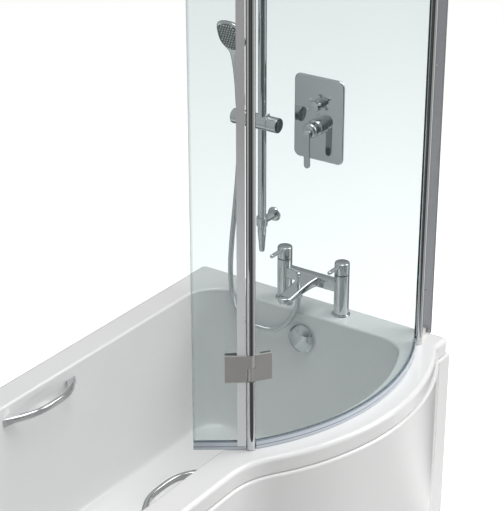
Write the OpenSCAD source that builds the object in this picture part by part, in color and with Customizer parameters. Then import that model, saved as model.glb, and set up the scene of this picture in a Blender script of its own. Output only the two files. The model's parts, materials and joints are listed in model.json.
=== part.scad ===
// P-shaped shower bath: a moulded bath with a bulging shower end, its front panel and underframe,
// a curved hinged screen with a folding return panel, a bridge bath filler with a hand shower on
// a rail, and a concealed valve with its wall plate. Millimetres, +Z up, floor at z = 0.
// Each piece is placed from the corner where the tap-end wall meets the back wall: x is 0 at the
// tap-end wall and falls towards the head, y is 0 at the back wall and falls towards the room.

/* [Bath] */
// Length from the head end to the tap-end wall
bath_l = 1700; // [1650:10:1800]
// Width of the straight part, back wall to front rim
bath_w = 700; // [690:2:716]
// Height of the rim above the floor
rim_z = 531; // [520:1:550]
// Depth of the well below the rim
well_depth = 400; // [385:5:405]
// Wall thickness of the moulded shell
shell_t = 6; // [4.5:0.5:7]
// Height of the skirt that hangs from the rim
skirt_h = 42; // [38:1:48]
// Radius of the soft edges of the rim
rim_edge_r = 11; // [8:1:13]
// Rim width at the back wall
rim_back = 79; // [76:1:88]
// Rim width along the straight front
rim_front = 80; // [77:1:88]
// Rim width at the tap end
rim_tap = 95; // [93:1:100]
// Rim width at the head end
rim_head = 90; // [80:1:110]
// Rim width at the middle of the bulge
rim_bulge = 94; // [88:1:98]
// How far the side walls lean in from rim to floor
wall_lean = 42; // [36:1:54]
// How far the tap-end wall leans in
tap_lean = 60; // [50:1:70]
// How far the reclining head end leans in
head_lean = 290; // [240:5:320]

/* [Shower bulge] */
// Distance of the middle of the bulge from the tap-end wall
bulge_x = 364; // [358:1:370]
// Reach of the bulge from the back wall
bulge_reach = 860; // [854:1:872]
// Radius of the bulge rim
bulge_r = 646; // [636:2:656]
// Share of the bulge's stand-out that its own arc gives back before the sweep to the straight front
sweep_fall = 0.73; // [0.7:0.005:0.76]
// How far the short flat landing beside the tap-end wall stands back from the bulge
landing_back = 76.5; // [73:0.5:81]

/* [Underframe] */
// Thickness of the bonded baseboard
board_t = 18; // [12:1:20]
// Height of the folded leg channels
channel_h = 30; // [26:1:34]
// Diameter of the threaded feet
stud_d = 10; // [8:1:12]

/* [Front panel] */
// How far the panel face stands proud of the rim
panel_proud = 6; // [5:0.5:8]
// Panel thickness
panel_t = 3; // [2.5:0.5:4]

/* [Grips] */
// Length of each grip over its two feet
grip_l = 266; // [258:2:272]
// How far the bar's face stands off the wall
grip_reach = 53; // [49:1:56]
// Height of the bar
grip_h = 17; // [15:0.5:19]
// Distance of the back grip's middle from the tap-end wall
grip_back_x = 795; // [785:1:805]
// Distance of the front grip's middle from the tap-end wall
grip_front_x = 944; // [942:1:956]
// Depth of the bar's middle below the rim
grip_drop = 43; // [41:1:45]

/* [Waste and overflow] */
// Distance of the waste from the tap-end wall
waste_x = 262; // [256:2:270]
// Diameter of the waste outlet pipe
outlet_d = 40; // [32:2:40]
// Diameter of the overflow dome
overflow_d = 78; // [73:1:82]
// Depth of the overflow's middle below the rim
overflow_drop = 74; // [72:1:79]

/* [Bath filler] */
// Distance between the two tap pillars
tap_pitch = 180; // [170:2:190]
// Distance of the pillars from the tap-end wall
tap_x = 44; // [42:1:46]
// Distance of the filler's middle from the back wall
tap_y = 394; // [388:2:400]
// Diameter of the pillars and their handles
pillar_d = 40; // [37:1:43]
// Height of the fixed part of each pillar above the rim
pillar_h = 119; // [114:1:126]
// Height of each handle
handle_h = 40; // [36:1:44]
// Reach of the spout from the pillars
spout_reach = 138; // [132:2:146]
// Width of the spout at its tip
spout_w = 37; // [34:1:42]

/* [Hand shower] */
// Height of the rail's lower bracket above the floor
rail_z = 746; // [730:2:760]
// Distance between the rail brackets
rail_pitch = 650; // [620:10:680]
// Diameter of the rail
rail_d = 22; // [20:0.5:24]
// Distance of the rail from the tap-end wall
rail_x = 60; // [57:1:63]
// Distance of the rail from the back wall
rail_y = 240; // [232:2:246]
// Height of the slider's axis above the floor
slider_z = 1027.5; // [1015:0.5:1045]
// Diameter of the slider
slider_d = 40; // [37:1:42]
// Width of the handset's head
head_w = 78; // [70:1:90]
// Diameter of the hose
hose_d = 14; // [13:0.5:15]

/* [Concealed valve] */
// Width of the wall plate
plate_w = 150; // [144:2:156]
// Height of the wall plate
plate_h = 228; // [216:2:240]
// Distance of the plate's middle from the back wall
plate_y = 378; // [374:1:382]
// Height of the plate's middle above the floor
plate_z = 1047; // [1035:1:1060]
// Depth of the valve behind the wall
valve_depth = 56; // [50:1:66]

/* [Screen] */
// Height of the screen above the rim
screen_h = 1450; // [1400:10:1500]
// Thickness of the toughened glass
glass_t = 6; // [5:0.5:7]
// Radius of the curved pane
screen_r = 601; // [592:1:612]
// Distance of the curved pane inside the bulge's outer edge
screen_in = 58.5; // [55:0.5:62]
// Diameter of the post at the wall
pivot_d = 22; // [21:0.5:24]
// Diameter of the post at the pane's free end
end_post_d = 21; // [19:0.5:22.5]
// Width of the folding pane, post middle to free edge
fold_w = 131; // [124:1:140]
// Angle of the folding pane from the X axis as it stands
fold_angle = 125.6; // [116:0.1:134]
// Height of the lower hinge's middle above the rim
hinge_rise = 212; // [200:1:225]
// Height of each hinge
hinge_h = 66; // [62:1:72]

/* [Hidden] */
$fn = 48;

// The part stands with the middle of its outer box over the origin
wall_x = (bath_l - valve_depth) / 2;
wall_y = (bulge_reach + panel_proud) / 2;
// Running clearance on the radius of a turning or sliding fit
fit = 0.06;

// --- plane geometry -----------------------------------------------------------------------
function unit(v) = v / norm(v);
function left_of(v) = [-v[1], v[0]];
function cross2(a, b) = a[0] * b[1] - a[1] * b[0];
function lerp(a, b, t) = a * (1 - t) + b * t;
function mix(a, b, t) = [for (i = [0 : len(a) - 1]) lerp(a[i], b[i], t)];
function xy(c) = [c[0], c[1]];
function turned(i, n) = (i + n) % n;
function ease(t) = let (u = min(1, max(0, t))) u * u * (3 - 2 * u);
function slerp(a, b, t) = let (w = acos(a * b)) (a * sin((1 - t) * w) + b * sin(t * w)) / sin(w);
function at_z(ring, z) = [for (p = ring) [p[0], p[1], z]];

// Points of the arc of radius r that rounds corner b between its neighbours a and c
function corner_arc(a, b, c, r, n) =
  let (u = unit(a - b), v = unit(c - b), half = acos(u * v) / 2, run = r / tan(half),
       centre = b + unit(u + v) * r / sin(half))
  [for (i = [0 : n]) centre + r * slerp(unit(b + u * run - centre), unit(b + v * run - centre), i / n)];

// Moves every edge of a list of corners [x, y, radius] inwards by d, and the radii follow
function inset(c, d) =
  [for (i = [0 : len(c) - 1])
    let (n = len(c), a = xy(c[turned(i - 1, n)]), b = xy(c[i]), e = xy(c[turned(i + 1, n)]),
         u = unit(b - a), v = unit(e - b), m = left_of(u), k = left_of(v),
         p = b + (m + k) * d / (1 + m * k), bend = cross2(u, v) > 0 ? 1 : -1)
    [p[0], p[1], max(1, c[i][2] - bend * d)]];

// The seven corner arcs of a bath outline, in this many steps each
arc_steps = [5, 6, 6, 6, 20, 3, 4];
function arcs(c) = [for (i = [0 : 6])
  corner_arc(xy(c[turned(i - 1, 7)]), xy(c[i]), xy(c[turned(i + 1, 7)]), c[i][2], arc_steps[i])];

// A closed bath outline: the arcs, with points on the straight runs that follow them
function outline(c, stops) = let (a = arcs(c))
  [for (i = [0 : 6])
    let (from = a[i][arc_steps[i]], to = a[turned(i + 1, 7)][0])
    each concat(a[i], [for (s = stops[i]) lerp(from, to, s < 0 ? (s - from[0]) / (to[0] - from[0]) : s)])];

// --- skins --------------------------------------------------------------------------------
// Two triangles for each side between ring a and ring b, which have n points each
function band(a, b, n) =
  [for (i = [0 : n - 1]) let (j = (i + 1) % n) each [[a + i, b + j, a + j], [a + i, b + i, b + j]]];
function middle(ring) = [for (k = [0 : 2]) [for (p = ring) p[k]] * [for (p = ring) 1] / len(ring)];

// A skin through anticlockwise rings, closed by a fan of triangles at each end
module skin(rings, first, last) {
  n = len(rings[0]);
  m = len(rings);
  polyhedron(concat([for (r = rings) each r], [first, last]), concat(
    [for (k = [0 : m - 2]) each band(k * n, (k + 1) * n, n)],
    [for (i = [0 : n - 1]) [n * m, i, (i + 1) % n]],
    [for (i = [0 : n - 1]) [n * m + 1, (m - 1) * n + (i + 1) % n, (m - 1) * n + i]]), convexity = 10);
}

// A skin through rings whose two ends are flat
module sweep(rings) {
  skin(rings, middle(rings[0]), middle(rings[len(rings) - 1]));
}

// An oblong with rounded corners as a ring of 4 * (n + 1) points, in its own plane
function oblong(w, h, r, n = 3) =
  [for (q = [0 : 3], i = [0 : n])
    [(q == 0 || q == 3 ? 1 : -1) * (w / 2 - r), (q < 2 ? 1 : -1) * (h / 2 - r)]
    + r * [cos(90 * (q + i / n)), sin(90 * (q + i / n))]];

// --- round pieces along the three axes ----------------------------------------------------
module place() {
  translate([wall_x, wall_y, 0]) children();
}

module along_z(x, y, z0, z1, r) {
  translate([x, y, z0]) cylinder(h = z1 - z0, r = r);
}

module along_x(x0, x1, y, z, r) {
  translate([x0, y, z]) rotate([0, 90, 0]) cylinder(h = x1 - x0, r = r);
}

module along_y(x, y0, y1, z, r) {
  translate([x, y0, z]) rotate([-90, 0, 0]) cylinder(h = y1 - y0, r = r);
}

module box(x0, x1, y0, y1, z0, z1) {
  translate([x0, y0, z0]) cube([x1 - x0, y1 - y0, z1 - z0]);
}

// A hexagon across its flats, standing on z0
module hexagon(x, y, z0, z1, flats) {
  translate([x, y, z0]) cylinder(h = z1 - z0, r = flats / sqrt(3), $fn = 6);
}

// --- bath outlines ------------------------------------------------------------------------
// Where the tangent of a circle, at angle q from the room side, meets a line of constant y
function tangent_at_y(c, r, q, y) = [c[0] + (r + (y - c[1]) * cos(q)) / sin(q), y];
function tangent_at_x(c, r, q, x) = [x, c[1] + ((x - c[0]) * sin(q) - r) / cos(q)];
// Where the tangents at angles -p and q meet, outside the bulge
function apex(c, r, p, q) = c + r / cos((p + q) / 2) * [sin((q - p) / 2), -cos((q - p) / 2)];
// Steepest angle of the sweep from straight front to bulge
sweep_angle = acos(1 - sweep_fall * (bulge_reach - bath_w) / bulge_r);
// Radius of the sweep that leaves the straight front and meets the tangent at angle p
sweep_share = 0.84;
function sweep_r(c, r, p, y) = sweep_share * (y - c[1] + r * cos(p)) / sin(p) / tan(p / 2);
function corner(p, r) = [p[0], p[1], r];

rim_corner_r = 16;
landing_blend_r = 40;
rim_c = [-bulge_x, bulge_r - bulge_reach];
landing_reach = bulge_reach - landing_back;
landing_angle = acos((landing_reach + rim_c[1]) / bulge_r) - 1.5;
rim_outline = [
  [0, 0, rim_corner_r],
  [-bath_l, 0, rim_corner_r],
  [-bath_l, -bath_w, rim_corner_r],
  corner(tangent_at_y(rim_c, bulge_r, -sweep_angle, -bath_w), sweep_r(rim_c, bulge_r, sweep_angle, -bath_w)),
  corner(apex(rim_c, bulge_r, sweep_angle, landing_angle), bulge_r),
  corner(tangent_at_y(rim_c, bulge_r, landing_angle, -landing_reach), landing_blend_r),
  [0, -landing_reach, rim_corner_r]];
// Where the straight front ends and the sweep starts
sweep_x = rim_outline[3][0] - rim_outline[3][2] * tan(sweep_angle / 2);

// A well outline: its tap-end front corner is one arc, given as two half turns
function well_outline(tap, back, head, front, c, r, q, tap_r, head_r) =
  let (v = tangent_at_x(c, r, q, -tap), u = [cos(q), sin(q)], turn = 90 - q,
       line = norm(v - (c + r * [sin(q), -cos(q)])), cr = 0.8 * line / tan(turn / 2),
       step = cr * (tan(turn / 2) - tan(turn / 4)))
  [[-tap, -back, tap_r], [-head, -back, head_r], [-head, -front, head_r],
   corner(tangent_at_y(c, r, -sweep_angle, -front), sweep_r(c, r, sweep_angle, -front)),
   corner(apex(c, r, sweep_angle, q), r),
   corner(v - u * step, 0.96 * cr), corner(v + [0, step], 0.96 * cr)];

mouth_r = bulge_r - 116;
mouth_c = [-bulge_x - 2, mouth_r + rim_bulge - bulge_reach];
mouth = well_outline(rim_tap, rim_back, bath_l - rim_head, bath_w - rim_front, mouth_c, mouth_r, 22, 90, 120);
// The bulge wall leans in a little more than the straight side walls
bulge_lean = wall_lean + 13;
foot_r = mouth_r - 40;
foot_c = mouth_c + [0, foot_r - mouth_r + bulge_lean];
foot = well_outline(rim_tap + tap_lean, rim_back + wall_lean, bath_l - rim_head - head_lean,
  bath_w - rim_front - wall_lean, foot_c, foot_r, 14, 90, 90);

// Points on the straight runs: shares of the run on the rim, and on the well an x for each point
// of the long sides, close together behind the grips
scoop_half = 106;
scoop_depth = 9;
scoop_shares = [-1, -0.75, -0.5, -0.25, 0, 0.25, 0.5, 0.75, 1];
side_shares = [for (i = [1 : len(scoop_shares)]) i / (len(scoop_shares) + 1)];
rim_stops = [side_shares, [0.33, 0.67], side_shares, [], [], [], [0.3, 0.6]];
well_stops = [[for (s = scoop_shares) -grip_back_x - s * scoop_half], [0.33, 0.67],
  [for (s = scoop_shares) -grip_front_x + s * scoop_half], [], [], [], [0.3, 0.6]];

// --- bath shell ---------------------------------------------------------------------------
floor_z = rim_z - well_depth;
floor_fall = 8;
under_z = floor_z - floor_fall - shell_t;
waste_y = tap_y + 3;
// Depth as a share of the straight wall, from the rim's edge down to the floor
depths = [0, 0.03, 0.06, 0.095, 0.13, 0.17, 0.24, 0.34, 0.46, 0.6, 0.72, 0.82, 0.9, 0.955, 0.988, 1];
under_depths = [0, 0.03, 0.06, 0.095, 0.13, 0.17, 0.26, 0.38, 0.52, 0.66, 0.8, 0.9, 0.965, 1];
// The walls lean in evenly, then sweep round into the floor
straight_share = 0.5;
function lean_at(d) = straight_share * d + (1 - straight_share) * (1 - sqrt(1 - pow(d, 8)));
function wall_z(d) = rim_z - rim_edge_r - d * (well_depth - rim_edge_r);
function depth_at(z) = (rim_z - rim_edge_r - z) / (well_depth - rim_edge_r);
// The scoop behind each grip presses the wall outwards by a half-moon
function scoop_at(z) = ease((rim_z - rim_edge_r - z) / 28) * (1 - ease((rim_z - 47 - z) / 26));
function scooped(p, z) =
  let (back = p[1] > -bath_w / 2, u = (p[0] + (back ? grip_back_x : grip_front_x)) / scoop_half,
       push = abs(u) < 1 ? scoop_depth * pow(cos(90 * u), 2) * scoop_at(z) : 0)
  [p[0], p[1] + (back ? push : -push)];
function wall_ring(d, out, drop) =
  let (ring = outline(inset(mix(mouth, foot, lean_at(d)), -out), well_stops))
  [for (p = ring) let (q = scooped(p, wall_z(d))) [q[0], q[1], wall_z(d) - drop]];
function rim_ring(d, z) = at_z(outline(inset(rim_outline, d), rim_stops), z);
waste_p = [-waste_x, -waste_y];
flat_r = 46;
// The floor falls in straight lines to a level ring round the waste
function floor_ring(share) = [for (p = outline(foot, well_stops))
  let (q = waste_p + flat_r * unit(p - waste_p), r = lerp(p, q, share))
  [r[0], r[1], floor_z - floor_fall * share]];

module bath_shell() {
  skirt_z = rim_z - skirt_h;
  edge = rim_edge_r;
  under_edge = 5;
  lip = 1.2;
  tap_hole_r = 15;
  color("White") place() difference() {
    skin(concat(
      [for (i = [len(under_depths) - 1 : -1 : 0])
        wall_ring(under_depths[i], shell_t, lerp(shell_t, shell_t + floor_fall, under_depths[i]))],
      [at_z(outline(inset(mouth, -shell_t - under_edge), well_stops), rim_z - shell_t)],
      [rim_ring(shell_t + under_edge, rim_z - shell_t), rim_ring(shell_t, rim_z - shell_t - under_edge),
       rim_ring(shell_t, skirt_z), rim_ring(lip, skirt_z), rim_ring(0, skirt_z + lip)],
      [for (a = [90 : -30 : 0]) rim_ring(edge * (1 - sin(a)), rim_z - edge * (1 - cos(a)))],
      [for (a = [90 : -22.5 : 22.5])
        at_z(outline(inset(mouth, -edge * (1 - cos(a))), well_stops), rim_z - edge * (1 - sin(a)))],
      [for (d = depths) wall_ring(d, 0, 0)],
      [floor_ring(0.5), floor_ring(1)]),
      [-waste_x, -waste_y, under_z], [-waste_x, -waste_y, floor_z - floor_fall]);
    for (s = [-1, 1])
      along_z(-tap_x, -tap_y + s * tap_pitch / 2, rim_z - 20, rim_z + 5, tap_hole_r);
    along_x(-overflow_face - 20, -overflow_face + 30, -overflow_y, overflow_z, overflow_bore_r);
    along_z(-waste_x, -waste_y, under_z - 5, floor_z, waste_bore_r);
    along_z(-waste_x, -waste_y, floor_z - floor_fall - waste_recess, floor_z, waste_flange_r + 0.4);
    for (side = [1, -1], s = [-1, 1])
      grip_bore(side, s, 30, grip_screw_r);
  }
}

// --- underframe ---------------------------------------------------------------------------
board_z = under_z - board_t;
channel_z = board_z - channel_h;
web_t = 2;
nut_h = 8;
nut_flats = 17;
pad_h = 7;
stud_z0 = 6;
stud_top = board_z + 12;
board_in = 12;
// The feet stand this far outside the baseboard's edges, and the end legs this far inside its ends
foot_clear = 45;
leg_in = 98;
leg_tap_in = 223;
back_foot = rim_back + wall_lean + board_in - foot_clear;
front_foot = bath_w - rim_front - wall_lean - board_in + foot_clear;
bulge_foot = bulge_reach - rim_bulge - bulge_lean - board_in + foot_clear;
head_leg_x = bath_l - rim_head - head_lean - board_in - leg_in;
tap_leg_x = rim_tap + tap_lean + board_in + leg_tap_in;
// Each leg: [distance from the tap-end wall, its back foot, its front foot]
legs = [[head_leg_x, back_foot, front_foot], [(head_leg_x + tap_leg_x) / 2, back_foot, front_foot],
  [tap_leg_x, back_foot, bulge_foot]];

module base_board() {
  color("BurlyWood") place() difference() {
    translate([0, 0, board_z]) linear_extrude(board_t)
      polygon(outline(inset(foot, board_in), well_stops));
    along_z(-waste_x, -waste_y, board_z - 1, under_z + 1, 64);
    box(-waste_x, 0, -waste_y - 30, -waste_y + 30, board_z - 1, under_z + 1);
  }
}

module rim_battens() {
  batten_t = 18;
  top = rim_z - shell_t;
  color("BurlyWood") place() difference() {
    translate([0, 0, top - batten_t]) linear_extrude(batten_t) difference() {
      polygon(outline(inset(rim_outline, shell_t + 5.5), rim_stops));
      polygon(outline(inset(rim_outline, 44), rim_stops));
    }
    box(-rim_tap + 5, 1, -bulge_reach, 1, top - batten_t - 1, top + 1);
  }
}

module leg_channels() {
  half = 20;
  color("Silver") place() for (g = legs) difference() {
    box(-g[0] - half, -g[0] + half, -g[2] - 22, -g[1] + 22, channel_z, board_z);
    box(-g[0] - half + web_t, -g[0] + half - web_t, -g[2] - 23, -g[1] + 23, channel_z - 1, board_z - web_t);
    for (y = [g[1], g[2]])
      along_z(-g[0], -y, board_z - 5, board_z + 1, stud_d / 2 + 0.4);
  }
}

module at_feet() {
  for (g = legs, y = [g[1], g[2]])
    translate([-g[0], -y, 0]) children();
}

module leg_studs() {
  color("Silver") place() at_feet() along_z(0, 0, stud_z0, stud_top, stud_d / 2);
}

module leg_nuts() {
  color("Silver") place() at_feet() for (z = [board_z, board_z - web_t - nut_h, pad_h + 9]) difference() {
    hexagon(0, 0, z, z + nut_h, nut_flats);
    along_z(0, 0, z - 1, z + nut_h + 1, stud_d / 2);
  }
}

module foot_pads() {
  pad_r = 22;
  color("DimGray") place() at_feet() difference() {
    union() {
      rotate_extrude() polygon([[0, 0], [pad_r, 0], [pad_r, 3], [pad_r - 6, pad_h], [0, pad_h]]);
      along_z(0, 0, pad_h - 1, pad_h + 9, 10);
    }
    along_z(0, 0, stud_z0, pad_h + 10, stud_d / 2);
  }
}

// --- front panel --------------------------------------------------------------------------
panel_top = rim_z - skirt_h - 2;
// The open line of the panel, drawn in from the rim by d
function panel_line(d) =
  let (c = inset(rim_outline, d),
       a = [for (i = [3, 4, 5]) corner_arc(xy(c[i - 1]), xy(c[i]), xy(c[i + 1]), c[i][2], arc_steps[i])])
  concat([[-bath_l, c[2][1]]], a[0], a[1], a[2], [[0, c[6][1]]]);

module front_panel() {
  out = -panel_proud;
  back = panel_t - panel_proud;
  tongue = shell_t + 1;
  // The panel's section: drawn-in distance and height, from the foot of its face round by its back
  section = [[out, 3], [out + 0.6, 0.9], [out + 2, 0], [back, 0], [back, panel_top - panel_t - 1.5],
    [back + 1.5, panel_top - panel_t], [tongue + 2.4, panel_top - panel_t], [tongue + 2.4, panel_top + 17],
    [tongue, panel_top + 17], [tongue, panel_top], [out + 4.5, panel_top], [out + 2.5, panel_top - 0.6],
    [out + 0.7, panel_top - 2.5], [out, panel_top - 6]];
  lines = [for (s = section) panel_line(s[0])];
  n = len(section);
  m = len(lines[0]);
  // The tongue, section points 6 to 9, stops short of the skirt at both ends
  in_first = [shell_t + 7, 0, 0];
  points = [for (k = [0 : m - 1], i = [0 : n - 1])
    [lines[i][k][0], lines[i][k][1], section[i][1]]
    + (i > 5 && i < 10 ? (k == 0 ? in_first : k == m - 1 ? -in_first : [0, 0, 0]) : [0, 0, 0])];
  wide = [0, 1, 2, 3, 4, 5, 10, 11, 12, 13];
  ends = [wide, [5, 6, 9], [5, 9, 10], [6, 7, 8, 9]];
  color("White") place()
    polyhedron(points, concat([for (k = [0 : m - 2]) each band(k * n, (k + 1) * n, n)],
      ends, [for (e = ends) [for (i = [len(e) - 1 : -1 : 0]) (m - 1) * n + e[i]]]), convexity = 6);
}

// Spring clips that hold the tongue of the panel behind the skirt
module panel_clips() {
  inner = shell_t + 3.4;
  top = rim_z - shell_t - 18;
  clip_in = [250, 71];
  color("Silver") place() {
    for (t = [0, 0.5, 1])
      clip_at([lerp(clip_in[0] - bath_l, sweep_x - clip_in[1], t), -bath_w], 0, inner, top);
    for (q = [-0.69 * sweep_angle, 0, 0.75 * landing_angle])
      clip_at(rim_c + bulge_r * [sin(q), -cos(q)], q, inner, top);
  }
}

module clip_at(p, q, inner, top) {
  translate([p[0], p[1], 0]) rotate([0, 0, q]) {
    box(-12, 12, inner + 1.4, inner + 3, top - 16, top);
    box(-12, 12, inner + 1.4, inner + 26, top - 1.6, top);
  }
}

module floor_batten() {
  hole_r = 2.5;
  wide = 38;
  high = 25;
  hole_in = 70;
  x0 = -bath_l + 40;
  x1 = sweep_x - 21;
  y0 = -bath_w + panel_t - panel_proud;
  color("BurlyWood") place() difference() {
    box(x0, x1, y0, y0 + wide, 0, high);
    for (t = [0, 0.5, 1])
      along_z(lerp(x0 + hole_in, x1 - hole_in, t), y0 + wide / 2, -1, high + 1, hole_r);
  }
}

// Angle brackets on the back wall, hooked up behind the skirt
module wall_brackets() {
  t = 2.5;
  z0 = rim_z - skirt_h;
  head_in = 300;
  tap_in = 500;
  color("Silver") place() for (x = [bath_l - head_in, tap_in]) difference() {
    translate([-x, 0, 0]) {
      box(-20, 20, -t, 0, z0 - 50, z0 - 0.4);
      box(-20, 20, -shell_t - 1 - t, 0, z0 - 0.4 - t, z0 - 0.4);
      box(-20, 20, -shell_t - 1 - t, -shell_t - 1, z0 - 0.4 - t, z0 + 15);
    }
    along_y(-x, -t - 1, 1, z0 - 32, 3.25);
  }
}

// --- grips --------------------------------------------------------------------------------
grip_z = rim_z - grip_drop;
grip_screw_r = 3;
grip_foot = 13;
// The y of the straight back wall (side 1) or front wall (side -1) of the well
function wall_line(side, z) = let (lean = wall_lean * lean_at(depth_at(z)))
  side > 0 ? -rim_back - lean : -bath_w + rim_front + lean;
function grip_x(side) = side > 0 ? -grip_back_x : -grip_front_x;

grip_thick = 11;
// The gap behind the bar is this much of its length
grip_gap_share = 0.75;
// The middle of the bar stands this far above its feet
grip_rise = 10;

// A ring of the bar at x from its middle: it bows out from the wall, and the gap behind it bows less
function grip_ring(side, x) =
  let (half = grip_l / 2, bow = 1 - pow(abs(x) / half, 2.6), high = grip_h * (1.3 - 0.3 * bow),
       gap = (grip_reach - grip_thick) * max(0, 1 - pow(abs(x) / half / grip_gap_share, 3.2)),
       out = max(grip_reach * bow, gap + 2.4), mid = (gap + out) / 2)
  [for (p = oblong(out - gap, high, (out - gap) * 0.4))
    let (z = grip_z + grip_rise * bow + p[1])
    [grip_x(side) - side * x, wall_line(side, z) - side * (mid + p[0]), z]];

// A flat bar that bows out from one foot to the other
module grip(side) {
  difference() {
    sweep([for (i = [-11 : 11]) grip_ring(side, grip_l / 2 * sin(90 * i / 11))]);
    for (s = [-1, 1])
      grip_bore(side, s, 3.2, grip_screw_r);
  }
}

// A round bore or shank square to the wall at each foot, running this far out of the wall's face
module grip_bore(side, s, out, r, back = 20) {
  y = wall_line(side, grip_z);
  along_y(grip_x(side) + s * (grip_l / 2 - grip_foot), side > 0 ? y - out : y - back,
    side > 0 ? y + back : y + out, grip_z, r);
}

module grip_back() {
  color("Silver") place() grip(1);
}

module grip_front() {
  color("Silver") place() grip(-1);
}

// Screws from behind the wall into each foot
module grip_screws() {
  head_gap = shell_t + 1;
  color("Silver") place() for (side = [1, -1], s = [-1, 1]) {
    grip_bore(side, s, 3.2, grip_screw_r, head_gap + 1);
    y = wall_line(side, grip_z) + side * head_gap;
    x = grip_x(side) + s * (grip_l / 2 - grip_foot);
    along_y(x, side > 0 ? y : y - 3.5, side > 0 ? y + 3.5 : y, grip_z, 6);
  }
}

// --- overflow and waste -------------------------------------------------------------------
overflow_y = tap_y + 4;
overflow_z = rim_z - overflow_drop;
overflow_face = rim_tap + tap_lean * lean_at(depth_at(overflow_z));
overflow_lean = atan(tap_lean * straight_share / (well_depth - rim_edge_r));
overflow_bore_r = 20;
// The overflow's outlet and its pipe stand this far from the tap-end wall
overflow_pipe_x = 72;
hose_wall = 2.5;
spigot_r = 9;

module overflow_cap() {
  lift = 5;
  dome_h = 12;
  r = overflow_d / 2;
  ball_r = (r * r + dome_h * dome_h) / (2 * dome_h);
  color("Silver") place() translate([-overflow_face, -overflow_y, overflow_z])
    rotate([0, overflow_lean - 90, 0]) difference() {
      union() {
        rotate_extrude() polygon(concat([[0, lift]], [for (i = [0 : 8])
          let (a = asin(r / ball_r) * (1 - i / 8))
          [ball_r * sin(a), lift + 1.5 + dome_h - ball_r + ball_r * cos(a)]]));
        cylinder(h = lift + 1, r = r - 8);
        translate([0, 0, -22]) cylinder(h = 23, r = 13);
      }
      translate([0, 0, -23]) cylinder(h = 26, r = 10);
      for (a = [0 : 45 : 135])
        rotate([0, 0, a]) translate([-r, -3, 1]) cube([2 * r, 6, lift - 2]);
    }
}

module overflow_body() {
  face = -overflow_face + shell_t + 3.4;
  back = -overflow_pipe_x + spigot_r + 4;
  color("DimGray") place() difference() {
    union() {
      along_x(face, face + 4, -overflow_y, overflow_z, 28);
      along_x(face, back, -overflow_y, overflow_z, 21);
      along_z(-overflow_pipe_x, -overflow_y, overflow_z - 50, overflow_z, spigot_r);
    }
    along_x(face - 1, back - 3, -overflow_y, overflow_z, 17);
    along_z(-overflow_pipe_x, -overflow_y, overflow_z - 51, overflow_z, spigot_r - 2.5);
  }
}

trap_r = 34;
inlet_z = 85;
module overflow_pipe() {
  bend = 45;
  far = -waste_x + trap_r + 6;
  color("DimGray") place() translate([0, -overflow_y, 0]) {
    difference() {
      along_z(-overflow_pipe_x, 0, inlet_z + bend, overflow_z - 26, spigot_r + hose_wall);
      along_z(-overflow_pipe_x, 0, inlet_z + bend - 1, overflow_z - 25, spigot_r);
    }
    translate([-overflow_pipe_x - bend, 0, inlet_z + bend]) rotate([90, 0, 0]) rotate([0, 0, -90])
      rotate_extrude(angle = 90) translate([bend, 0]) difference() {
        circle(r = spigot_r + hose_wall);
        circle(r = spigot_r);
      }
    difference() {
      along_x(far, -overflow_pipe_x - bend, 0, inlet_z, spigot_r + hose_wall);
      along_x(far - 1, -overflow_pipe_x - bend + 1, 0, inlet_z, spigot_r);
    }
  }
}

waste_z = floor_z - floor_fall;
waste_recess = 2;
waste_bore_r = 25;
waste_flange_r = 35;
waste_stem_r = 5;
module waste_flange() {
  color("Silver") place() translate([-waste_x, -waste_y, 0]) difference() {
    union() {
      rotate_extrude() polygon([[20, waste_z - 35], [waste_bore_r - 0.6, waste_z - 35],
        [waste_bore_r - 0.6, waste_z - waste_recess], [waste_flange_r, waste_z - waste_recess],
        [waste_flange_r, waste_z + 0.4], [waste_flange_r - 3, waste_z + 1.6], [26, waste_z + 0.6],
        [21.5, waste_z - 3], [20, waste_z - 6]]);
      along_z(0, 0, waste_z - 30, waste_z - 22, waste_stem_r + 3.5);
      for (a = [0, 60, 120])
        rotate([0, 0, a]) box(-21, 21, -1.5, 1.5, waste_z - 30, waste_z - 24);
    }
    along_z(0, 0, waste_z - 31, waste_z - 20, waste_stem_r + fit);
  }
}

module waste_plug() {
  r = 30;
  color("Silver") place() translate([-waste_x, -waste_y, 0]) {
    rotate_extrude() polygon(concat([[0, waste_z + 2.4], [r - 2, waste_z + 2.4], [r, waste_z + 3.6]],
      [for (i = [1 : 6]) [r * cos(15 * i), waste_z + 3.6 + 4 * sin(15 * i)]]));
    along_z(0, 0, waste_z - 36, waste_z + 3, waste_stem_r);
  }
}

trap_outlet_z = 72;
trap_outlet_end = waste_y - 98;
module waste_trap() {
  wall = 3;
  bottom = 42;
  top = under_z;
  color("White") place() translate([-waste_x, 0, 0]) difference() {
    union() {
      along_z(0, -waste_y, bottom, top - 8, trap_r);
      along_z(0, -waste_y, top - 12, top, trap_r + 4);
      along_y(0, -waste_y, -trap_outlet_end, trap_outlet_z, outlet_d / 2 - 1);
      along_y(0, -trap_outlet_end - 36, -trap_outlet_end, trap_outlet_z, outlet_d / 2);
      along_x(0, trap_r + 26, -overflow_y, inlet_z, spigot_r);
    }
    along_z(0, -waste_y, bottom + wall, top + 1, trap_r - wall);
    along_y(0, -waste_y + 20, -trap_outlet_end + 1, trap_outlet_z, outlet_d / 2 - 2.5);
    along_x(20, trap_r + 27, -overflow_y, inlet_z, spigot_r - 2.5);
  }
}

// --- bath filler --------------------------------------------------------------------------
pillar_top = rim_z + pillar_h;
flange_h = 5;
tail_r = 10.5;
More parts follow.
